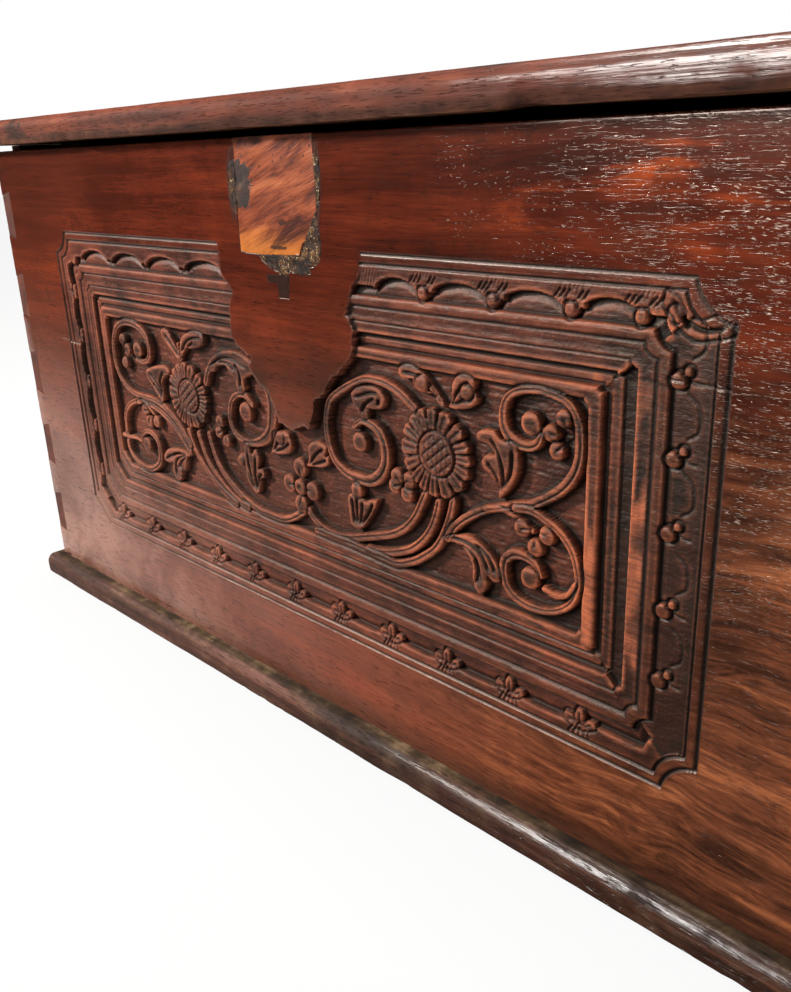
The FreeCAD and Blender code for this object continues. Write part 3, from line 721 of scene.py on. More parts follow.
# Each side's bays from start to end, the crown and spring of the arches in them, and where the buds between
# them stand, in shares. The right side has buds without arches.
ARCADES = {
    "top": (((170, 229), (236, 298), (304, 367), (373, 440), (636, 682), (693, 748), (758, 812), (822, 868)),
            0.205, 0.36, 0.32),
    "bottom": (tuple((117 + 65.2 * i, 182.2 + 65.2 * i) for i in range(11)), 0.20, 0.25, 0.285),
    "left": (((98, 150), (150, 205), (205, 258), (258, 312), (312, 362), (362, 405)), 0.215, 0.345, 0.30),
    "right": (((110, 162), (162, 214), (214, 268), (268, 317), (317, 366), (366, 405)), None, None, 0.345),
}


def rise(values, start, span):
    """0 up to the start, then rising evenly to 1 over the span."""
    return np.clip((values - start) / span, 0, 1)


def spots(wide, tall, seed, window=...):
    """Mottle over the board's face with cells of a width and a height in mm."""
    return mottle(np.stack([U[window] / wide, W[window] / tall], -1), seed)


def smooth_line(points, per=5):
    """A smooth line through points: cubic pieces whose slope at a point is half the step between its
    neighbours."""
    p = np.array(points, float)
    p = np.concatenate([2 * p[:1] - p[1:2], p, 2 * p[-1:] - p[-2:-1]])
    t = np.linspace(0, 1, per, endpoint=False)[:, None, None]
    a, b, c, d = p[:-3], p[1:-2], p[2:-1], p[3:]
    bow, twist = 2 * a - 5 * b + 4 * c - d, 3 * b - a - 3 * c + d
    line = 0.5 * (2 * b + (c - a) * t + bow * t ** 2 + twist * t ** 3)
    return np.concatenate([line.transpose(1, 0, 2).reshape(-1, 2), p[-2:-1]])


def near_line(line, reach):
    """For the grid within reach of a line: its window, the distance to the line, the share of the line
    passed, and which side of it the place is on."""
    low, high = line.min(0) - reach, line.max(0) + reach
    c0, c1 = np.searchsorted(u_lines, (low[0], high[0]))
    r0, r1 = np.searchsorted(w_lines, (low[1], high[1]))
    window = (slice(r0, r1), slice(c0, c1))
    place = np.stack([U[window], W[window]], axis=-1)[None].astype(np.float32)
    start, along = (a.astype(np.float32)[:, None, None] for a in (line[:-1], np.diff(line, axis=0)))
    rel = place - start
    share = np.clip((rel * along).sum(-1) / np.maximum((along ** 2).sum(-1), 1e-9), 0, 1)
    gap = np.hypot(*np.moveaxis(rel - share[..., None] * along, -1, 0))
    best = gap.argmin(0)[None]
    passed = np.concatenate([[0], np.cumsum(np.hypot(*np.diff(line, axis=0).T))])
    step = np.diff(passed)
    turn = along[..., 0] * rel[..., 1] - along[..., 1] * rel[..., 0]
    gap, share, turn = (np.take_along_axis(values, best, 0)[0] for values in (gap, share, turn))
    total = (passed[best[0]] + share * step[best[0]]) / passed[-1]
    return window, gap, total, np.sign(turn)


class Relief:
    """The depth of the carved board at every place of the grid."""

    def __init__(self):
        self.depth = np.zeros_like(U)

    def moat(self, window, gap, strength=1.6):
        """A cut round a raised form, where it lies on others."""
        cut = strength * np.exp(-((gap - 0.9) / 0.9) ** 2)
        self.depth[window] = np.minimum(self.depth[window] + cut, np.maximum(self.depth[window], GROUND))

    def raise_to(self, window, top, gap):
        """A raised form: its own surface, then a steep wall down past its edge."""
        self.depth[window] = np.minimum(self.depth[window], top + 9.0 * np.maximum(gap, 0))

    def stem(self, points, width, top, shares=(1.0, 1.0), reeds=True, moat=True):
        """A flat band along a line with rounded edges and a fine groove beside its middle; shares of its
        width are given at even steps along it."""
        line = smooth_line(points)
        window, gap, share, side = near_line(line, width * max(shares) / 2 + 3)
        half = width / 2 * np.interp(share, np.linspace(0, 1, len(shares)), shares)
        if moat:
            self.moat(window, gap - half)
        crown = 1.1 * (gap / half) ** 6
        groove = 1.1 * np.exp(-((side * gap + 0.2 * half) / 0.7) ** 2) if reeds else 0
        self.raise_to(window, top + crown + groove, gap - half)

    def blade(self, outline, veins):
        """A leaf from its outline: highest inside, falling off towards its edge, with gouged veins."""
        line = smooth_line(outline + outline[:1], 4)
        window, gap, _, _ = near_line(line, 4)
        gap = np.where(inside(line, U[window], W[window]), -gap, gap)
        self.moat(window, gap, 1.4)
        self.raise_to(window, 3.5 + 1.3 * np.exp(np.minimum(gap, 0) / 1.6), gap)
        for vein in veins:
            self.cut(vein, 1.4, 3.0)

    def knob(self, u, w, radius, top, dimple=0.0, tall=1.0):
        """A round or oval button with a flattened dome, and a dimple where asked."""
        line = np.array([(u, w - 0.01), (u, w + 0.01)])
        window, gap, _, _ = near_line(line, radius * max(1, tall) + 3)
        gap = np.hypot(U[window] - u, (W[window] - w) / tall)
        self.moat(window, gap - radius)
        pit = dimple * np.exp(-(gap / (0.32 * radius)) ** 2)
        self.raise_to(window, top + 1.5 * (gap / radius) ** 3 + pit, gap - radius)

    def petals(self, places, middle, radius, top=3.4):
        """Round petals about a middle, each with a gouge from its tip inwards."""
        for u, w in places:
            self.knob(u, w, radius, top)
            self.cut([(u, w), ((u + middle[0]) / 2, (w + middle[1]) / 2), middle], 1.0, 1.5)

    def cut(self, points, width, deep):
        """A fine cut along a line."""
        window, gap, share, _ = near_line(smooth_line(points), width * 2.5)
        ends = np.minimum(1, 8 * share * (1 - share) + 0.3)
        self.depth[window] += deep * np.exp(-(gap / width) ** 2) * ends


def top_wide(u):
    """The width of the frame's top side."""
    return np.where(u < MIDDLE_U, *TOP_WIDE)


def side_shares():
    """Shares of the frame's width passed from each side, and from the notched corners."""
    left, right, low, high = PANEL
    shares = {"left": (U - left) / LEFT_WIDE, "right": (right - U) / RIGHT_WIDE,
              "bottom": (W - low) / LOW_WIDE, "top": (high - W) / top_wide(U)}
    nearest = np.min(list(shares.values()), axis=0)
    whole = nearest.copy()
    corners = ((left, low, LEFT_WIDE, LOW_WIDE, 0), (right, low, RIGHT_WIDE, LOW_WIDE, 33),
               (right, high, RIGHT_WIDE, TOP_WIDE[1], 33), (left, high, LEFT_WIDE, TOP_WIDE[0], 30))
    for u, w, wide_u, wide_w, radius in corners:
        a = (U - u) * math.copysign(1, MIDDLE_U - u)
        b = (W - w) * math.copysign(1, MIDDLE_W - w)
        if radius == 0:
            whole = np.minimum(whole, (a + b - 30) / (wide_u + wide_w - 16))
            continue
        span = wide_u ** 2 + wide_w ** 2
        middle = (a * wide_u + b * wide_w) / span
        bow = radius * np.clip(1 - 1.15 * np.clip(middle, 0, 1) ** 0.8, 0.12, 1)
        room = middle ** 2 - (a ** 2 + b ** 2 - bow ** 2) / span
        notch = np.where(room >= 0, middle - np.sqrt(np.maximum(room, 0)), 9.0)
        whole = np.minimum(whole, notch)
    return shares, nearest, whole


def carve_frame(relief):
    """The sunk frame: mouldings from the section, and an arcade of small arches."""
    shares, nearest, whole = side_shares()
    depth = np.interp(whole, *SECTION.T)
    first, last = RIGHT_SECTION[[0, -1], 0]
    at_right = (shares["right"] <= nearest + 1e-9) & (whole > first) & (whole < last)
    depth = np.where(at_right, np.interp(whole, *RIGHT_SECTION.T), depth)
    in_arcade = (whole > 0.118) & (whole < 0.392)
    for name, (arches, crown, spring, _) in ARCADES.items():
        mine = in_arcade & (shares[name] <= nearest + 1e-9)
        band = 1.25 + 0.5 * (whole - 0.12) / 0.1
        if crown is None:
            arcade = band + 1.6
        else:
            along = U if name in ("top", "bottom") else W
            edge = np.full_like(along, 0.30 if name != "bottom" else spring)
            pull = np.zeros_like(along)
            for start, end in arches:
                middle, half = (start + end) / 2, (end - start) / 2
                bend = np.sqrt(np.maximum(1 - ((along - middle) / half) ** 2, 0))
                edge = np.where(np.abs(along - middle) < half, spring - (spring - crown) * bend, edge)
                spread = np.minimum(np.abs(along - start + 3), np.abs(along - end - 3))
                pull = np.maximum(pull, np.exp(-(spread / 10) ** 2))
            nicks = pull * 0.5 * np.maximum(np.sin(along * 1.9 + whole * 60), 0) * (whole > 0.14)
            floor = 8.6 - 3.4 * rise(whole, edge, 0.085)
            arcade = np.minimum(band + nicks + 6 * rise(whole, edge, 0.012), floor)
        wall = np.interp(whole, (0.372, 0.388, 0.395), (0.0, 0.7, 1.0))
        arcade = arcade * (1 - wall) + depth * wall
        depth = np.where(mine & (whole > 0.122), arcade, depth)
    relief.depth = np.where(whole > -0.006, depth, 0.0)


def bud_places():
    """Each bud's side of the frame, and its middle."""
    left, right, low, high = PANEL
    for name, (arches, _, _, bud) in ARCADES.items():
        ends = [(a[1] + b[0]) / 2 for a, b in zip(arches[:-1], arches[1:]) if b[0] - a[1] < 20]
        for place in ends + [arches[-1][1]]:
            middles = {"top": (place, high - bud * top_wide(place)), "bottom": (place, low + bud * LOW_WIDE),
                       "left": (left + bud * LEFT_WIDE, place), "right": (right - bud * RIGHT_WIDE, place)}
            yield name, *middles[name]


def carve_buds(relief):
    """Knobbed buds between the arches with slanting nicks over them, round ones with a small leaf at the
    right, and three-petalled ones pointing up along the bottom."""
    for name, u, w in bud_places():
        if name in ("top", "bottom") and not 150 < u < 905 or name == "top" and 425 < u < 628:
            continue
        if name in ("left", "right") and not 125 < w < 400:
            if name == "right" and w < 125:
                relief.knob(u - 8, w + 14, 5.0, 1.2)
                relief.knob(u + 3, w + 16, 3.6, 1.8)
            continue
        if name == "bottom":
            for way in (-1, 1):
                relief.stem([(u + way * 2, w - 8), (u + way * 6, w - 5), (u + way * 11, w - 3)], 6.5, 2.6,
                            (0.8, 1.2, 1.0), False)
                relief.cut([(u + way * 4, w - 7), (u + way * 10, w - 3)], 0.8, 1.1)
            relief.knob(u, w + 0.5, 4.4, 2.0, 0.0, 1.4)
            relief.cut([(u, w - 6), (u, w + 4)], 0.8, 1.3)
            for slant in (-7, -3.5, 0, 3.5, 7):
                relief.cut([(u + slant * 1.3, w - 15), (u + slant * 0.7, w - 8)], 0.8, 1.6)
        elif name == "top" and u > 500:
            relief.stem([(u, w + 9), (u, w + 4), (u - 0.5, w)], 9.0, 1.6, (1.0, 0.8), False, False)
            relief.knob(u - 0.5, w - 0.5, 5.0, 2.0, 0.0, 1.05)
            relief.stem([(u + 3, w + 8), (u + 7, w + 7), (u + 9, w + 3)], 5.5, 1.9, (0.8, 1.1, 0.7), False,
                        False)
            relief.cut([(u - 5, w + 6), (u - 1, w + 4), (u + 4, w + 6)], 0.8, 1.2)
            for step in (-13, -9, -5, 5, 9):
                relief.cut([(u + step, w + 7), (u + step + 5, w + 13)], 0.8, 1.6)
        elif name == "right":
            relief.knob(u, w, 5.2, 0.6)
            relief.knob(u + 6, w + 6, 3.0, 1.6)
            relief.cut([(u + 6, w + 1), (u + 11, w - 1), (u + 16, w - 1)], 0.9, 1.0)
            relief.cut([(u + 7, w + 13), (u + 15, w + 20), (u + 14, w + 34), (u + 6, w + 42)], 1.1, 0.9)
        elif name == "left":
            relief.stem([(u, w - 6), (u, w), (u, w + 6)], 7, 2.2, (0.6, 1.1, 0.6), False)


# The field's carving: the lines of the stems, the lines, widths and shares of the width of the scrolls,
# the tendrils, the outlines and veins of the leaves, petals about a middle with their radius, and knobs
STEMS = (
    ((683, 245), (678, 235), (672, 224), (664, 214), (655, 206), (643, 199), (630, 194), (615, 189),
     (600, 184), (585, 180), (570, 178), (555, 180), (543, 186), (535, 193)),
    ((697, 240), (694, 230), (690, 220), (684, 210), (675, 200), (665, 192), (655, 187), (645, 183),
     (635, 180), (625, 178), (612, 177)),
    ((712, 245), (708, 230), (699, 210), (690, 198), (680, 190), (670, 183), (660, 178), (650, 174),
     (640, 173), (600, 175), (545, 176)),
    ((384, 238), (388, 225), (393, 213), (402, 202), (415, 192), (430, 184), (445, 178), (460, 175),
     (480, 174), (497, 175), (510, 180), (520, 186), (527, 191)),
    ((365, 235), (370, 222), (376, 210), (385, 200), (397, 190), (410, 182), (425, 176), (440, 173)),
    ((347, 235), (352, 222), (360, 210), (370, 200), (380, 192), (392, 184), (405, 177), (420, 172)),
)
SCROLLS = (
    (((684, 304), (672, 314), (657, 323), (640, 328), (620, 328), (604, 322), (589, 314), (575, 304),
      (569, 290), (568, 275), (571, 260), (578, 249), (590, 242), (605, 240), (620, 241), (632, 249),
      (639, 261), (639, 275), (633, 286), (622, 291), (611, 291), (603, 285)),
     8.5, (1.0, 0.9, 0.8, 0.8, 0.9, 1.0, 1.35, 1.2, 0.5)),
    (((706, 213), (714, 225), (727, 236), (742, 245), (757, 251), (772, 256), (787, 261), (799, 268),
      (811, 277), (820, 288), (825, 300), (826, 314), (824, 328), (816, 339), (803, 343), (788, 344),
      (773, 341), (764, 334), (761, 323), (763, 312), (771, 305), (782, 303), (791, 307), (794, 316)),
     7.6, (1.0, 1.0, 0.9, 1.0, 1.15, 1.0, 0.7, 0.8, 1.3, 0.8)),
    (((772, 254), (786, 256), (800, 252), (812, 246), (822, 236), (827, 223), (828, 210), (824, 197),
      (816, 188), (804, 182), (790, 180), (776, 182), (766, 189), (762, 200), (763, 211), (771, 218),
      (782, 219), (792, 215), (796, 208)),
     7.2, (0.8, 0.9, 1.0, 0.9, 0.8, 1.0, 1.1, 1.2, 0.7)),
    (((388, 292), (395, 306), (408, 317), (425, 324), (445, 326), (463, 320), (478, 311), (489, 300),
      (493, 287), (491, 273), (487, 260), (476, 250), (462, 244), (446, 242), (433, 246), (425, 256),
      (425, 269), (430, 281), (441, 288), (453, 288), (462, 281)),
     8.4, (0.9, 1.0, 0.9, 0.9, 1.8, 1.6, 0.9, 0.8, 0.8, 0.7)),
    (((345, 212), (331, 226), (315, 238), (300, 245), (283, 250), (264, 251), (245, 250), (229, 243),
      (219, 231), (217, 217), (216, 203), (218, 190), (227, 180), (241, 175), (256, 174), (270, 179),
      (281, 188), (284, 201), (280, 213), (268, 219), (256, 217), (249, 210)),
     7.2, (1.0, 1.0, 0.9, 0.9, 0.9, 1.0, 1.1, 0.7)),
    (((347, 220), (332, 236), (316, 247), (298, 255), (278, 258), (258, 258), (238, 261), (222, 271),
      (214, 284), (212, 300), (215, 316), (224, 329), (239, 336), (256, 337), (272, 334), (284, 326),
      (288, 313), (284, 302), (272, 297), (260, 299)),
     7.4, (1.0, 1.0, 0.9, 0.9, 0.9, 1.0, 1.1, 0.7)),
)
TENDRILS = (
    ((745, 247), (757, 250), (768, 249), (778, 245), (788, 240)),
    ((799, 198), (810, 196), (819, 200), (825, 210)), ((206, 205), (220, 205), (234, 206), (246, 204)),
    ((553, 240), (560, 243), (566, 250)), ((345, 300), (346, 312), (344, 325)),
    ((250, 250), (262, 252), (276, 244), (284, 236)),
)
BLADES = (
    (((757, 258), (755, 268), (749, 275), (742, 279), (741, 285), (746, 290), (753, 291), (748, 297),
      (738, 299), (736, 304), (742, 308), (752, 309), (758, 304), (762, 303), (772, 303), (775, 295),
      (775, 283), (770, 272), (763, 263)),
     (((758, 264), (761, 276), (758, 289), (750, 302)), ((757, 264), (754, 275), (746, 284)),
      ((761, 268), (768, 281), (769, 297)))),
    (((705, 214), (714, 218), (728, 221), (742, 216), (752, 209), (758, 200), (758, 191), (751, 189),
      (746, 192), (746, 184), (742, 177), (737, 174), (733, 179), (731, 188), (731, 197), (726, 205),
      (717, 210), (708, 211)),
     (((712, 215), (728, 214), (740, 208), (748, 196)), ((718, 211), (730, 207), (737, 198), (739, 184)),
      ((735, 215), (747, 208), (754, 197)), ((734, 203), (736, 193), (735, 183)))),
    (((706, 318), (700, 326), (692, 334), (683, 342), (671, 346), (660, 344), (657, 338), (663, 334),
      (672, 335), (674, 329), (682, 326), (692, 326), (700, 319)),
     (((703, 320), (693, 331), (680, 338), (664, 340)), ((697, 324), (686, 331)))),
    (((708, 319), (712, 327), (713, 337), (718, 344), (727, 346), (735, 343), (734, 335), (738, 329),
      (730, 322), (718, 319)),
     (((710, 320), (718, 332), (728, 341)), ((712, 321), (724, 327), (733, 331)))),
    (((600, 313), (607, 319), (620, 323), (632, 323), (641, 316), (638, 307), (629, 304), (622, 303),
      (621, 296), (614, 294), (608, 299), (603, 305)),
     (((632, 318), (620, 316), (606, 311)), ((628, 313), (618, 307), (613, 299)),
      ((634, 313), (633, 308)))),
    (((592, 194), (590, 208), (590, 221), (600, 225), (611, 221), (617, 223), (627, 225), (621, 213),
      (613, 202), (602, 192)),
     (((597, 198), (596, 210), (595, 220)), ((600, 198), (601, 210), (601, 221)),
      ((603, 198), (607, 209), (608, 219)), ((605, 198), (615, 210), (621, 221)))),
    (((300, 256), (291, 266), (283, 274), (276, 281), (275, 289), (284, 293), (294, 296), (304, 298),
      (314, 299), (323, 294), (315, 288), (308, 284), (303, 275), (305, 264)),
     (((301, 262), (296, 276), (284, 287)), ((302, 266), (301, 280), (309, 292)),
      ((299, 266), (288, 277)))),
    (((345, 208), (330, 211), (315, 210), (300, 206), (291, 198), (291, 191), (299, 190), (307, 192),
      (305, 183), (308, 175), (315, 172), (321, 177), (322, 185), (331, 188), (335, 196), (336, 203)),
     (((335, 206), (318, 204), (303, 199), (295, 194)), ((332, 204), (318, 199), (312, 189), (312, 179)),
      ((333, 203), (325, 197), (320, 189)), ((325, 206), (312, 203), (305, 197)))),
    (((314, 335), (322, 339), (331, 334), (339, 323), (347, 312), (341, 309), (332, 316), (324, 322),
      (317, 327)),
     (((343, 313), (332, 324), (322, 332)),)),
    (((347, 312), (347, 322), (352, 332), (362, 338), (375, 341), (389, 340), (392, 333), (384, 327),
      (372, 323), (358, 322), (352, 316)),
     (((350, 318), (360, 329), (374, 334), (386, 335)), ((362, 324), (372, 330)))),
    (((393, 306), (398, 315), (410, 323), (426, 328), (442, 329), (457, 325), (469, 318), (470, 312),
      (460, 308), (453, 304), (453, 294), (446, 289), (440, 293), (438, 302), (431, 306), (424, 313),
      (411, 311), (402, 304)),
     (((400, 311), (416, 319), (436, 321), (456, 316)), ((440, 317), (446, 308), (446, 296)),
      ((412, 315), (428, 316), (438, 311)))),
    (((455, 190), (462, 196), (463, 207), (472, 212), (469, 219), (462, 218), (465, 230), (459, 237),
      (453, 231), (450, 240), (443, 239), (441, 229), (434, 228), (430, 222), (434, 216), (440, 213),
      (442, 204), (448, 196)),
     (((454, 195), (449, 212), (446, 232)), ((456, 195), (457, 212), (459, 229)),
      ((452, 196), (444, 210), (437, 221)), ((458, 196), (461, 208), (467, 214)))),
    (((536, 236), (540, 246), (540, 256), (548, 262), (556, 263), (566, 260), (563, 252), (568, 246),
      (560, 240), (548, 238)),
     (((541, 240), (550, 250), (560, 257)), ((544, 239), (556, 244), (563, 247)))),
    (((484, 238), (490, 250), (492, 260), (503, 263), (513, 262), (517, 252), (512, 244), (500, 240)),
     (((489, 242), (497, 252), (502, 260)), ((491, 241), (504, 247), (513, 253)))),
    (((884, 418), (891, 414), (897, 405), (906, 402), (918, 406), (927, 404), (927, 397), (915, 393),
      (903, 391), (894, 396), (888, 404), (882, 410)),
     (((888, 413), (896, 402), (908, 397), (922, 400)), ((892, 408), (898, 397)))),
)
SPRAYS = (
    (((648, 243), (662, 239), (664, 251), (651, 252)), (656, 246), 7.0),
    (((812, 328), (802, 316), (807, 304)), (818, 315), 6.4),
    (((800, 240), (778, 240), (790, 228)), (790, 242), 7.0),
    (((404, 255), (401, 243), (413, 236)), (412, 246), 6.2),
    (((262, 243), (283, 233), (268, 231)), (272, 243), 6.6),
    (((233, 317), (241, 307), (233, 292)), (226, 305), 6.6),
)
KNOBS = (
    (609, 273, 8.5), (785, 320, 8.5), (786, 203, 8.5), (450, 272, 9.5), (257, 203, 8), (263, 309, 8.5),
    (602, 229, 7), (682, 333, 6.5), (435, 221, 5.5), (500, 256, 6), (890, 405, 5), (320, 185, 5),
    (727, 333, 6),
)
BLOSSOM = ((526, 233), (509, 214), (541, 213), (524, 197))

# The outline of the wood left uncarved
TONGUE = (
    (436, 440), (437, 400), (452, 385), (445, 372), (443, 345), (450, 337), (470, 327), (465, 318),
    (480, 303), (490, 300), (497, 290), (505, 272), (520, 268), (540, 275), (548, 272), (560, 300),
    (575, 312), (580, 322), (600, 335), (608, 345), (613, 365), (609, 375), (603, 378), (609, 385),
    (612, 397), (617, 403), (623, 415), (627, 440),
)

# Where the raised carving is stained nearly black: place and half widths
STAINS = (
    (806, 326, 30, 26), (604, 246, 44, 14), (440, 250, 50, 16), (776, 186, 30, 16), (574, 296, 12, 30),
    (276, 268, 34, 12), (484, 292, 12, 26), (566, 186, 50, 10),
)


def carve_rosette(relief, u, w, radius, disc_u, disc_radius):
    """A sunflower in polar form: sixteen round-tipped petals with gouged middles, and a hatched disc."""
    window, _, _, _ = near_line(np.array([(u - 1.0, w), (u + 1.0, w)]), radius + 4)
    x, z = U[window] - u, W[window] - w
    reach, angle = np.hypot(x, z), np.arctan2(z, x)
    turn = angle * 16 / (2 * math.pi) + 0.2 * np.sin(angle * 3)
    part = np.abs(turn - np.round(turn)) * 2
    tip = radius * (0.85 + 0.15 * np.sqrt(np.maximum(1 - part ** 2, 0)))
    relief.moat(window, reach - tip, 2.4)
    apart = np.exp(-((1 - part) * reach * math.pi / 16 / 0.9) ** 2)
    between = apart * (1.6 + 3.5 * rise(reach, 0.68 * radius, 5)) * rise(reach, 15, 5)
    hollow = np.exp(-(part * reach * math.pi / 16 / 1.2) ** 2) * rise(reach, 18, 4)
    petals = 3.0 + (reach / radius) ** 6 + between + hollow
    relief.raise_to(window, petals, reach - tip)
    x, z = U[window] - disc_u, W[window] - w
    reach = np.hypot(x, z)
    lozenge = [np.abs(((x * c + z * s) / 6.6 + 0.5) % 1 - 0.5) * 6.6 for c, s in ((0.8, 0.6), (-0.62, 0.78))]
    hatch = sum(1.5 * np.exp(-(gap / 0.95) ** 2) for gap in lozenge)
    relief.depth[window] += 2.4 * np.exp(-(reach - disc_radius - 1) ** 2)
    disc = 1.6 + 1.2 * (reach / disc_radius) ** 4 + hatch * (reach < disc_radius - 0.8)
    relief.raise_to(window, disc, reach - disc_radius)


def inside(outline, u, w):
    """Whether places lie inside an outline: true where a ray to the right crosses it an odd number of
    times."""
    a = np.array(outline, float)[:, :, None, None]
    b = np.roll(a, -1, axis=0)
    crosses = (a[:, 1] > w) != (b[:, 1] > w)
    height = np.where(b[:, 1] == a[:, 1], 1e-9, b[:, 1] - a[:, 1])
    at = a[:, 0] + (w - a[:, 1]) / height * (b[:, 0] - a[:, 0])
    return (crosses & (u < at)).sum(0) % 2 == 1


def leave_tongue(relief):
    """The uncarved wood left for the lock: flat, with a broken edge where the carving stops."""
    closed = np.array(TONGUE + TONGUE[:1], float)
    window, gap, _, _ = near_line(closed, 8)
    within = np.where(inside(TONGUE, U[window], W[window]), gap, -gap)
    ragged = within + 3.2 * spots(5, 4, 41, window) + 1.2 * spots(1.8, 1.6, 42, window)
    share = np.clip(ragged / 1.6 + 0.5, 0, 1)
    beside = blurred(np.clip(relief.depth / 3, 0, 1), 3)[window]
    worn = 0.7 * np.exp(-(np.maximum(within, 0) / 2.5) ** 2) * np.clip(beside * 2, 0, 1)
    relief.depth[window] = relief.depth[window] * (1 - share) + worn * share


def carve_field(relief):
    """The vines, leaves, flowers and knobs on the sunk ground."""
    for points in STEMS:
        relief.stem(points, 7.4, 3.6)
    for points, width, shares in SCROLLS:
        relief.stem(points, width, 3.3, shares)
    for points in TENDRILS:
        relief.stem(points, 5.2, 4.0, (1.0, 0.7), False)
    for outline, veins in BLADES:
        relief.blade(outline, veins)
    carve_rosette(relief, 694, 280, 36, 696, 17.5)
    carve_rosette(relief, 352, 273, 34, 355, 16.5)
    for places, middle, radius in SPRAYS:
        relief.petals(places, middle, radius)
    for u, w, radius in KNOBS:
        relief.knob(u, w, radius, 3.0)
    relief.petals(BLOSSOM, (525, 214), 8.8, 3.2)
    relief.knob(525, 214, 7.5, 2.4, 1.6)


def blurred(values, reach):
    """The mean over a square window of the grid, by running sums."""
    for axis in (0, 1):
        padded = np.pad(values, [(reach + 1, reach) if i == axis else (0, 0) for i in (0, 1)], mode="edge")
        total = np.cumsum(padded, axis=axis)
        size = values.shape[axis]
        upper = np.take(total, np.arange(2 * reach + 1, 2 * reach + 1 + size), axis=axis)
        values = (upper - np.take(total, np.arange(size), axis=axis)) / (2 * reach + 1)
    return values


def carved_depth():
    """The carved board's depth with its tool marks, and the shares of what is cut and of the repair's
    joint."""
    relief = Relief()
    carve_frame(relief)
    carve_field(relief)
    carve_buds(relief)
    leave_tongue(relief)
    depth = relief.depth
    cut = np.clip(depth / 2.0, 0, 1)
    marks = 0.5 * spots(7, 3, 11) + 0.35 * spots(2.2, 1.4, 12)
    marks += 0.45 * spots(30, 1.8, 13) + 0.6 * spots(9, 1.1, 17)
    depth += marks * (0.45 * cut + 0.5 * rise(depth, 9, 2)) * (1 - 0.6 * rise(U, 878, 3))
    depth += 0.35 * (spots(60, 45, 14) + 0.3 * spots(20, 16, 15))
    repaired = np.any([inside(outline, U, W) for outline in (PATCH, PLUG, *FILLERS)], axis=0)
    under = blurred(repaired.astype(float), 1)
    relief.depth = np.where(under > 0.99, 2.5, np.maximum(depth, -0.1))
    relief.cut([(98, 303.5), (120, 303), (150, 302.2)], 0.7, 1.6)
    relief.cut([(888, 366.5), (908, 366), (930, 365.2)], 0.7, 1.4)
    return relief.depth, cut, np.clip(4 * under * (1 - under), 0, 1)


def shade_and_stains(depth, cut, joint):
    """What the finish needs on the board's points: the painted shade where a place lies deeper than its
    neighbours, with the dark joint round the repair, and how rubbed, carved and dark each place is.
    """
    near = blurred(depth, 4)
    panel = (U > 116) & (U < 931) & (W > 78) & (W < 431)
    # Painted shade: how far each place lies below its neighbours, near and wide; it darkens the hollows
    # nearly to black
    hollow = 0.7 * rise(depth, blurred(depth, 2), 0.7) + 0.6 * rise(depth, near, 1.6)
    hollow = (hollow + 0.15 * rise(depth, blurred(depth, 12), 6.0)) * panel
    hollow = np.maximum(hollow, 0.6 * joint)
    rub = rise(near, depth, 1.5) * cut * panel
    carved = blurred(cut, 1)
    broad = np.clip(0.5 + 1.6 * spots(70, 45, 21) + spots(18, 12, 22), 0, 1)
    right = rise(U, 838, 20) * (W < 405)
    outermost = rise(U, 878, 3) * (W < 396)
    patina = carved * panel * (0.2 + 0.4 * broad + (0.6 + 0.4 * broad) * right + 0.8 * outermost)
    field = (U > 204) & (U < 842) & (W > 170) & (W < 350)
    stain = np.max([np.exp(-((U - u) / a) ** 2 - ((W - w) / b) ** 2) for u, w, a, b in STAINS], axis=0)
    patina += field * np.clip((9.5 - depth) / 2, 0, 1) * (0.25 + 0.4 * broad + 0.7 * stain)
    for first, last in ((831, 841), (866, 878)):
        strip = rise(U, first, 2) * rise(-U, -last, 2) * (W > 150) * (W < 362)
        bright = strip * np.clip(2.5 * (broad - 0.5), 0, 1)
        rub = np.maximum(rub, bright)
        patina = patina * (1 - 0.7 * bright)
    return np.clip(hollow, 0, 1), np.clip(rub, 0, 1), carved, np.clip(patina, 0, 1)


def round_top(depth):
    """The depth with the board's upper edge rounded, more so at its left end."""
    radius = 1.8 + 1.2 * np.exp(-((U - 20) / 30) ** 2)
    past = np.maximum(radius - (BOARD_TOP - W), 0)
    return depth + radius - np.sqrt(np.maximum(radius ** 2 - past ** 2, 0))


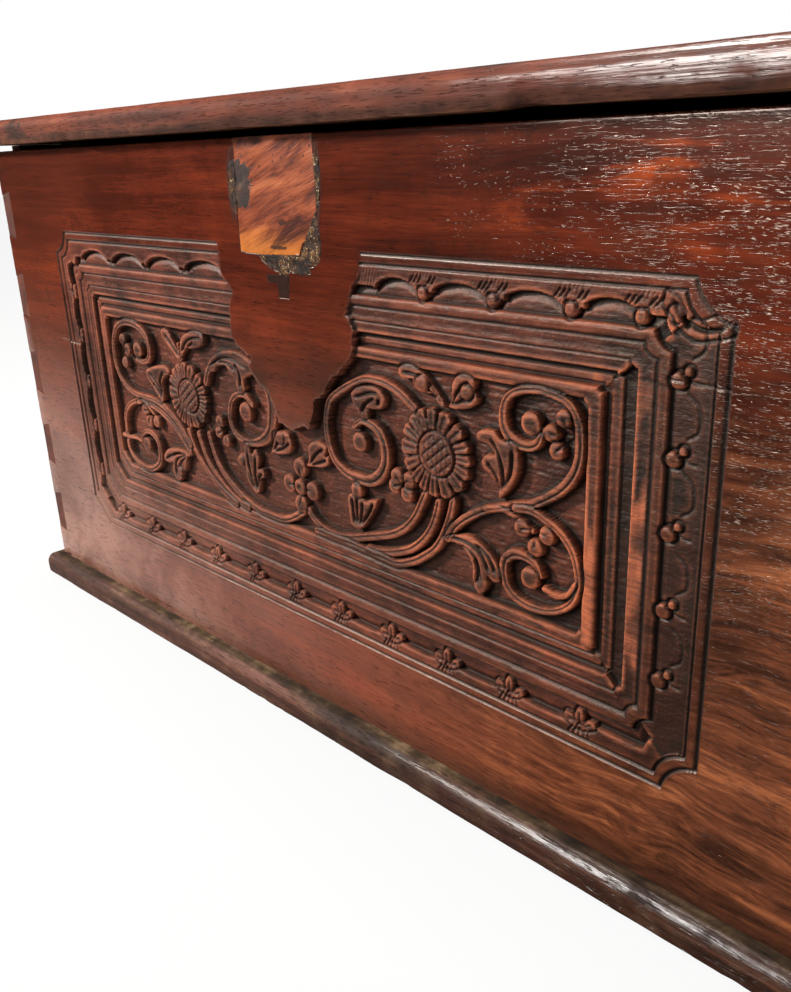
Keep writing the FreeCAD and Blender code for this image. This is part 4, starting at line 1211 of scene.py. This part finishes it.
def front_slab(index, first, last, fields, finish):
    """One upright slice of the carved board: the carved grid in front, a coarse flat grid behind, and walls
    whose faces each join many cells of the front to one of the back."""
    depth, slopes, *masks = fields
    columns = slice(first, last + 1)
    rows, wide = depth.shape[0], last - first + 1
    x = left_x + U[:, columns] * MM
    z = wall_z + W[:, columns] * MM
    front = np.stack([x, front_y + depth[:, columns] * MM, z], -1).reshape(-1, 3)
    rear = np.stack([x, np.full_like(x, inner_front_y), z], -1)[::CELLS, ::CELLS]
    back_rows, back_wide = rear.shape[:2]
    ids = np.arange(rows * wide).reshape(rows, wide)
    back = rows * wide + np.arange(back_rows * back_wide).reshape(back_rows, back_wide)
    run = np.arange(CELLS + 1)
    across = np.arange(back_wide - 1)[:, None] * CELLS + run
    upward = np.arange(back_rows - 1)[:, None] * CELLS + run
    foot = np.column_stack([back[0, :-1], back[0, 1:], ids[0][across][:, ::-1]])
    head = np.column_stack([back[-1, 1:], back[-1, :-1], ids[-1][across]])
    left = np.column_stack([ids[:, 0][upward], back[1:, 0], back[:-1, 0]])
    right = np.column_stack([ids[:, -1][upward][:, ::-1], back[:-1, -1], back[1:, -1]])
    rear_faces = (quads(back_rows, back_wide) + rows * wide)[:, ::-1]
    form = Form()
    form.add(np.concatenate([front, rear.reshape(-1, 3)]),
             [quads(rows, wide), rear_faces, foot, head, left, right])
    outwards = np.tile((0.0, 1.0, 0.0), (rear.size // 3, 1))
    normals = np.concatenate([slopes[:, columns].reshape(-1, 3), outwards])
    pad = np.zeros(rear.size // 3)
    kept = {name: np.concatenate([values[:, columns].ravel(), pad])
            for name, values in zip(("hollow", "rub", "carved", "patina"), masks)}
    form.piece("front_board_slice_%d" % index, "chest", [finish], ["front_board"], 60,
               normals, kept)


def make_front(finish):
    """The carved front in six slices, and its tails between the pins."""
    depth, cut, joint = carved_depth()
    masks = shade_and_stains(depth, cut, joint)
    depth = round_top(depth)
    down, across = np.gradient(depth, w_lines, u_lines)
    slopes = np.stack([across, -np.ones_like(depth), down], -1)
    slopes /= np.linalg.norm(slopes, axis=-1, keepdims=True)
    fields = (depth, slopes, *masks)
    bounds = [0, 32, 256, 480, 704, 928, 960]
    for index, (first, last) in enumerate(zip(bounds[:-1], bounds[1:])):
        front_slab(index + 1, first, last, fields, finish)
    for side, name in ((-1, "left"), (1, "right")):
        form = Form()
        add_tails(form, side, front_y, inner_front_y, wall_z, front_top)
        form.piece("front_tails_" + name, "chest", [finish], ["front_board"])


def end_span(side):
    """The two faces of the end boards at one side, from left to right."""
    outer = left_x if side < 0 else right_x
    return sorted((outer, outer - side * END_THICK))


def jointed(form, side, y0, y1, z0, z1, flare, paint=0):
    """One pin or tail: a block in an end's corner, its sides sloping by the flare towards its outer face
    where flare is above zero, and towards its inner face where it is below."""
    x0, x1 = end_span(side)
    soft = 0.7 * MM
    profile = np.concatenate([quarter(soft, 3), [(0.0, END_THICK)]])
    out = profile[:, 1] / END_THICK
    extra = np.abs(flare) * ((1 - out) if flare > 0 else out)
    if side > 0:
        profile = np.column_stack([profile[::-1, 0], END_THICK - profile[::-1, 1]])
        extra = extra[::-1]
    add_plank(form, (x0, y0, z0), (x1, y1, z1), 0, profile, knocked(0.21 * MM, 6 * MM, 60),
              corner=soft, flare=extra, step=3 * MM, paint=paint)


def add_tails(form, side, y0, y1, low, high):
    """The tails of a board between the pins: wide outside, narrow inside."""
    middles = [z for z in pin_middles if low < z < high]
    starts = [low] + [z + PIN_NARROW for z in middles]
    ends = [z - PIN_NARROW for z in middles] + [high]
    for start, end in zip(starts, ends):
        jointed(form, side, y0, y1, start, end, -PIN_FLARE)


def make_ends(finishes, grain_end):
    """The end boards: two planks a side, each with its pins at the front and at the back."""
    for side, name in ((-1, "left"), (1, "right")):
        x0, x1 = end_span(side)
        for part, low, high in (("lower", wall_z, end_joint), ("upper", end_joint, wall_top)):
            form = Form()
            add_plank(form, (x0, inner_front_y, low), (x1, inner_back_y, high), 0, softened(END_THICK),
                      knocked(0.5 * MM, 25 * MM, 70), (0, 0, 1, 1))
            for z in pin_middles:
                if low < z < high:
                    span = (z - PIN_WIDE, z + PIN_WIDE, PIN_FLARE, 1)
                    jointed(form, side, front_y + 0.5 * MM, inner_front_y, *span)
                    jointed(form, side, inner_back_y, back_y - 0.3 * MM, *span)
            node = "%s_end_board_%s" % (name, part)
            form.piece(node + "_worn", "chest", [finishes[part], grain_end], [node])


def make_back(finishes):
    """The back boards: two planks with tails round the end boards' pins."""
    for part, low, high in (("lower", wall_z, back_joint), ("upper", back_joint, wall_top)):
        form = Form()
        add_plank(form, (left_x + END_THICK, inner_back_y, low), (right_x - END_THICK, back_y, high), 1,
                  softened(back_y - inner_back_y), knocked(0.4 * MM, 30 * MM, 80), (1, 1, 0, 0))
        for side in (-1, 1):
            add_tails(form, side, inner_back_y, back_y, low, high)
        node = "back_board_" + part
        form.piece(node + "_worn", "chest", [finishes[part]], [node])


def add_board(node, body, finish, shape, wear, sides, corner):
    """A nosed board that stands for its node. The shape is the lift of its underside, the radius and the
    steps of its foot and of its nose, and the steps between them."""
    lift, foot, nose, steps = shape
    low, high = corners_of(node)
    profile = nosed(high[2] - low[2] - lift, foot, nose, steps)
    form = Form()
    add_plank(form, low + (0, 0, lift), high, 2, profile, wear, sides, corner, step=4 * MM)
    form.piece(node + "_worn", body, [finish], [node], 35)


def edge_wear(points, low, high, reach, waves, bite, strength, seed):
    """How a board's front edge is worn: each point's share of the board's height and of the wear, slow
    waves, and knocks where noise goes past the bite. Each wave is a length and its number over the height."""
    height = (points[..., 2] - low[2]) / (high[2] - low[2])
    edge = np.clip(1 - (points[..., 1] - low[1]) / reach, 0, 1)
    slow, quick, knock = (mottle(np.stack([points[..., 0] / length, height * number], -1), seed + i)
                          for i, (length, number) in enumerate(waves))
    return height, edge, slow + 0.5 * quick, strength * np.maximum(knock - bite, 0)


# Chips in the lid's lower front corner: place, half width and depth in mm
LID_CHIPS = ((0.272, 0.014, 3.4), (0.15, 0.006, 1.4), (-0.02, 0.009, 1.6), (-0.31, 0.008, 1.8))


def lid_wear(points):
    """Dents along the lid's front edge: slow waves, small knocks, and chips in its lower corner."""
    height, edge, slow, knock = edge_wear(points, lid_low, lid_high, 30 * MM,
                                          ((0.06, 2), (0.013, 3), (0.02, 1.5)), 0.28, 3.2, 101)
    x = points[..., 0]
    chips = sum(deep * np.exp(-((x - place) / wide) ** 2) for place, wide, deep in LID_CHIPS)
    chips = chips * np.clip(1 - height * 3.2, 0, 1)
    moved = points.copy()
    moved[..., 1] += (0.8 * slow + 1.2 * knock + 0.15 + chips) * MM * edge
    moved[..., 2] += (0.5 * slow * (height > 0.02) - 0.5 * knock * height + 0.5 * chips) * MM * edge
    return moved


def base_wear(points):
    """Wear of the base's front nose: slow waves along it, and knocks."""
    height, edge, slow, knock = edge_wear(points, base_low, base_high, 26 * MM,
                                          ((0.05, 2), (0.012, 3), (0.016, 2.5)), 0.25, 3.0, 121)
    moved = points.copy()
    moved[..., 1] += (0.9 * slow + 1.3 * knock + 0.2) * MM * edge
    moved[..., 2] += (0.5 * slow - 0.8 * knock) * MM * edge * (height > 0.3)
    return moved


def make_lid(finish):
    """The lid's two nosed planks: a flat lower edge, and a round nose above it, worn unevenly in front."""
    shape = (0.15 * MM, (1.2 * MM, 2), (11 * MM, 9), 4)
    add_board("lid_board_front", "lid", finish, shape, lid_wear, (1, 1, 1, 0.06),
              (6 * MM, 6 * MM, 0.6 * MM, 0.6 * MM))
    add_board("lid_board_rear", "lid", finish, shape, knocked(0.5 * MM, 22 * MM, 90),
              (1, 1, 0.06, 0.06), 0.6 * MM)


def make_base(finish):
    """The base's three planks: a rounded nose at the front and the ends, and a small rounding at the
    foot."""
    shape = (0.2 * MM, (5 * MM, 4), (13 * MM, 8), 3)
    add_board("base_board_front", "chest", finish, shape, base_wear, (1, 1, 1, 0.05),
              (7 * MM, 7 * MM, 0.5 * MM, 0.5 * MM))
    for name in ("base_board_middle", "base_board_rear"):
        add_board(name, "chest", finish, shape, knocked(0.5 * MM, 24 * MM, 110),
                  (1, 1, 0.05, 0.05), 0.5 * MM)


# Lock repair: outlines in mm on the board's face

PATCH = (
    (472.5, 421), (500, 420.4), (528, 421.2), (553, 422), (557, 430), (566, 440), (574, 452), (577, 458),
    (577.5, 480), (577, 500), (577, 514), (540, 514), (500, 514), (475, 514), (474, 500), (473, 470),
    (472, 440),
)
FILLERS = (
    ((473, 452), (468, 453), (464, 460), (462, 472), (463, 486), (467, 496), (474.5, 501), (475, 485),
     (474.6, 465)),
    ((497, 420.8), (502, 415), (512, 410), (522, 407), (525, 404), (532, 404), (540, 408), (556, 406),
     (566, 408), (562, 416), (553, 421)),
    ((553, 421.5), (560, 414), (569, 413), (577, 418), (580, 430), (579, 446), (577.5, 457), (571, 449),
     (562, 436)),
    ((577.5, 455), (581, 458), (583, 470), (584.5, 488), (582, 501), (577.5, 506), (577.3, 480)),
)
PLUG = (
    (522, 385), (535, 385.3), (535, 398), (537, 398.5), (537, 404), (508, 404), (508, 398.3), (522, 398),
)


def boss(form, line, top, deep, soft, dome, rough, seed):
    """A piece let into the face: its outline carried inwards in rounds to its middle, with a rounded rim, a
    slight dome and a rough surface, and a wall down to its flat back. All measures are in mm."""
    line = line + 0.9 * rough * np.stack([mottle(line / 4.0, seed + 1), mottle(line / 4.0 + 5, seed + 2)], -1)
    centre = line.mean(0)
    area = line[:, 0] * np.roll(line[:, 1], -1) - np.roll(line[:, 0], -1) * line[:, 1]
    if area.sum() < 0:
        line = line[::-1]
    inward = np.linspace(0, 1, 14) ** 1.4
    inward = np.concatenate([[0.0, 0.0], inward[1:-1], [0.985]])
    places = line[None] * (1 - inward)[:, None, None] + centre * inward[:, None, None]
    fall = soft * np.exp(-40 * inward[2:]) - dome * inward[2:] * (2 - inward[2:])
    rim = np.concatenate([[deep, top + soft], top + fall])
    level = np.repeat(rim[:, None], len(line), axis=1)
    uneven = mottle(places / 6.0, seed) + 0.6 * mottle(places / 2.2, seed + 3)
    level[2:] += rough * uneven[2:]
    x, z = left_x + places[..., 0] * MM, wall_z + places[..., 1] * MM
    form.add_tube(np.stack([x, front_y + level * MM, z], -1))


def dense(outline):
    """An outline with even points along its straight sides, 1.5 mm apart or less."""
    a = np.array(outline, float)
    b = np.roll(a, -1, axis=0)
    counts = np.maximum(1, np.ceil(np.hypot(*(b - a).T) / 1.5)).astype(int)
    return np.concatenate([p + (q - p) * np.linspace(0, 1, n, endpoint=False)[:, None]
                           for p, q, n in zip(a, b, counts)])


def make_lock_repair(patch_finish, filler_finish, plug_finish):
    """The patch, the filler round it and the plug in the keyhole."""
    form = Form()
    boss(form, dense(PATCH), -0.15, 12, 0.35, 0.2, 0.2, 201)
    form.piece("lock_patch_let_in", "chest", [patch_finish], ["lock_patch"], 50)
    form = Form()
    for index, outline in enumerate(FILLERS):
        line = smooth_line(outline + outline[:1], 6)[:-1]
        boss(form, line, -0.1, 4, 0.5, 0.4, 1.1, 211 + 10 * index)
    form.piece("patch_filler_crumbly", "chest", [filler_finish], ["patch_filler"], 60)
    form = Form()
    boss(form, dense(PLUG), -0.05, 12, 0.25, 0.1, 0.15, 231)
    form.piece("keyhole_plug_let_in", "chest", [plug_finish], ["keyhole_plug"], 50)


def make_base_nails(finish):
    """The heads of the nails under the base: low domes, as rings from the tip to the rim."""
    form = Form()
    long_side = [left_x + share * (right_x - left_x) for share in (0.05, 0.23, 0.41, 0.59, 0.77, 0.95)]
    places = [(x, y) for x in long_side for y in (front_y + 11 * MM, back_y - 10 * MM)]
    plank = 178 * MM
    near, far = base_low[1] + plank, back_y - plank
    inset, apart = 0.34 * plank, 0.30 * (far - near)
    short_side = (near - inset, near + apart, far - apart, far + inset)
    places += [(x, y) for x in (left_x + 10 * MM, right_x - 10 * MM) for y in short_side]
    angle = np.linspace(0, 2 * math.pi, 16, endpoint=False)
    round_about = np.stack([np.cos(angle), -np.sin(angle)], -1)[None]
    radii = np.array([0.4, 3.2, 4.2, 4.5, 4.4])[:, None, None] * MM
    heights = np.array([0.05, 0.05, 0.08, 0.16, 1.6])[:, None] * MM
    flat = round_about * radii
    for x, y in places:
        form.add_tube(np.stack([x + flat[..., 0], y + flat[..., 1], np.repeat(heights, 16, 1)], -1))
    form.piece("base_nail_heads", "chest", [finish], ["base_nails"])


def dress_cad(batten, iron):
    """Finishes for the CAD's own nodes that stay: the battens, and the straps, pins and nails."""
    for name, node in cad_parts.items():
        if node.hide_render:
            continue
        slots = node.data.materials
        if not slots:
            slots.append(iron)
        for index in range(len(slots)):
            slots[index] = batten if "batten_" in name and "nails" not in name else iron


# Studio

FLOOR_REACH = 30.0
WORLD_LIGHT = 0.22
SCREEN_PLACES = ((-3.4, 0.4), (-1.6, -3.3), (1.2, -3.6), (3.6, -1.6), (3.6, 2.8), (-1.2, 3.4))
SCREEN_HEIGHT = 3.4


def flat_object(name, points, faces, material):
    """An object of the studio from its points and faces."""
    mesh = bpy.data.meshes.new(name)
    mesh.from_pydata(points, [], faces)
    mesh.materials.append(material)
    return put(bpy.data.objects.new(name, mesh))


def make_stage():
    """A plain white floor that keeps the chest's shadow, and a white world."""
    paper = Finish("floor_paper")
    matt = paper.node("ShaderNodeBsdfDiffuse", None, {"Color": (0.5, 0.5, 0.5, 1)}).outputs[0]
    sockets = {0: paper.seen() * 0.9, 1: matt, 2: paper.glow((1, 1, 1, 1))}
    both = paper.node("ShaderNodeMixShader", None, sockets).outputs[0]
    paper.node("ShaderNodeOutputMaterial", None, {0: both})
    corners = [(x * FLOOR_REACH, y * FLOOR_REACH, 0) for x, y in ((-1, -1), (1, -1), (1, 1), (-1, 1))]
    floor = flat_object("floor", corners, [(0, 1, 2, 3)], paper.material)
    world = bpy.data.worlds.new("studio")
    world.use_nodes = True
    sky = Finish("studio", world.node_tree)
    level = WORLD_LIGHT + sky.seen() * (1 - WORLD_LIGHT)
    back = sky.node("ShaderNodeBackground", None, {"Color": (1, 1, 1, 1), "Strength": level})
    sky.node("ShaderNodeOutputWorld", None, {0: back.outputs[0]})
    bpy.context.scene.world = world


def mirrored_only(name, points, faces, material):
    """A screen of the studio that only the polished surfaces show."""
    screen = flat_object(name, points, faces, material)
    screen.visible_camera = False
    screen.visible_shadow = False
    screen.visible_diffuse = False


def add_screens():
    """The studio's dark cloths round and over the chest, and on the floor a glowing sheet that runs from pale
    at the left to dark at the right. Only polished surfaces show them: the cloths darken what they mirror,
    and the sheet, though it is no lamp, glows as a painted reflection that puts a sheen on the front's lower
    left."""
    cloth = Finish("screen_cloth").surface((0.03, 0.022, 0.018, 1), 0.9, Specular_IOR_Level=0.0)
    count = len(SCREEN_PLACES)
    walls = [(i, (i + 1) % count, count + (i + 1) % count, count + i) for i in range(count)]
    points = [(x, y, z) for z in (0.0, SCREEN_HEIGHT) for x, y in SCREEN_PLACES]
    mirrored_only("screens", points, walls + [tuple(range(count, 2 * count))], cloth)
    # The sheet glows though it is no lamp: a painted reflection
    paper = Finish("graded_sheet")
    level = (0.32 - paper.axis(0)).ease(0.0, 0.8) * (paper.axis(1) + 1.05).ease(0.0, 0.5) * 0.95
    shine = paper.glow(paper.layers((0, 0, 0), (level, (255, 245.8, 238.6))))
    paper.node("ShaderNodeOutputMaterial", None, {0: shine})
    mirrored_only("floor_sheet", [(x, y, 0.0006) for x, y in SCREEN_PLACES], [tuple(range(count))],
                  paper.material)


def make_chest():
    """Every finish and every piece."""
    iron = wrought_iron()
    make_front(carved_teak())
    make_ends({"lower": polished_teak("end_teak_lower", 1, 4.2),
               "upper": polished_teak("end_teak_upper", 1, 6.9)}, end_grain())
    make_back({"lower": polished_teak("back_teak_lower", 0, 14.2),
               "upper": polished_teak("back_teak_upper", 0, 17.5)})
    make_lid(lid_teak())
    make_base(base_teak())
    make_lock_repair(patch_teak(), filler_wax(), plug_wood())
    make_base_nails(iron)
    dress_cad(batten_teak(), iron)


add_camera()
add_lamps()
make_stage()
add_screens()
make_chest()
bpy.context.scene.view_settings.view_transform = "Standard"
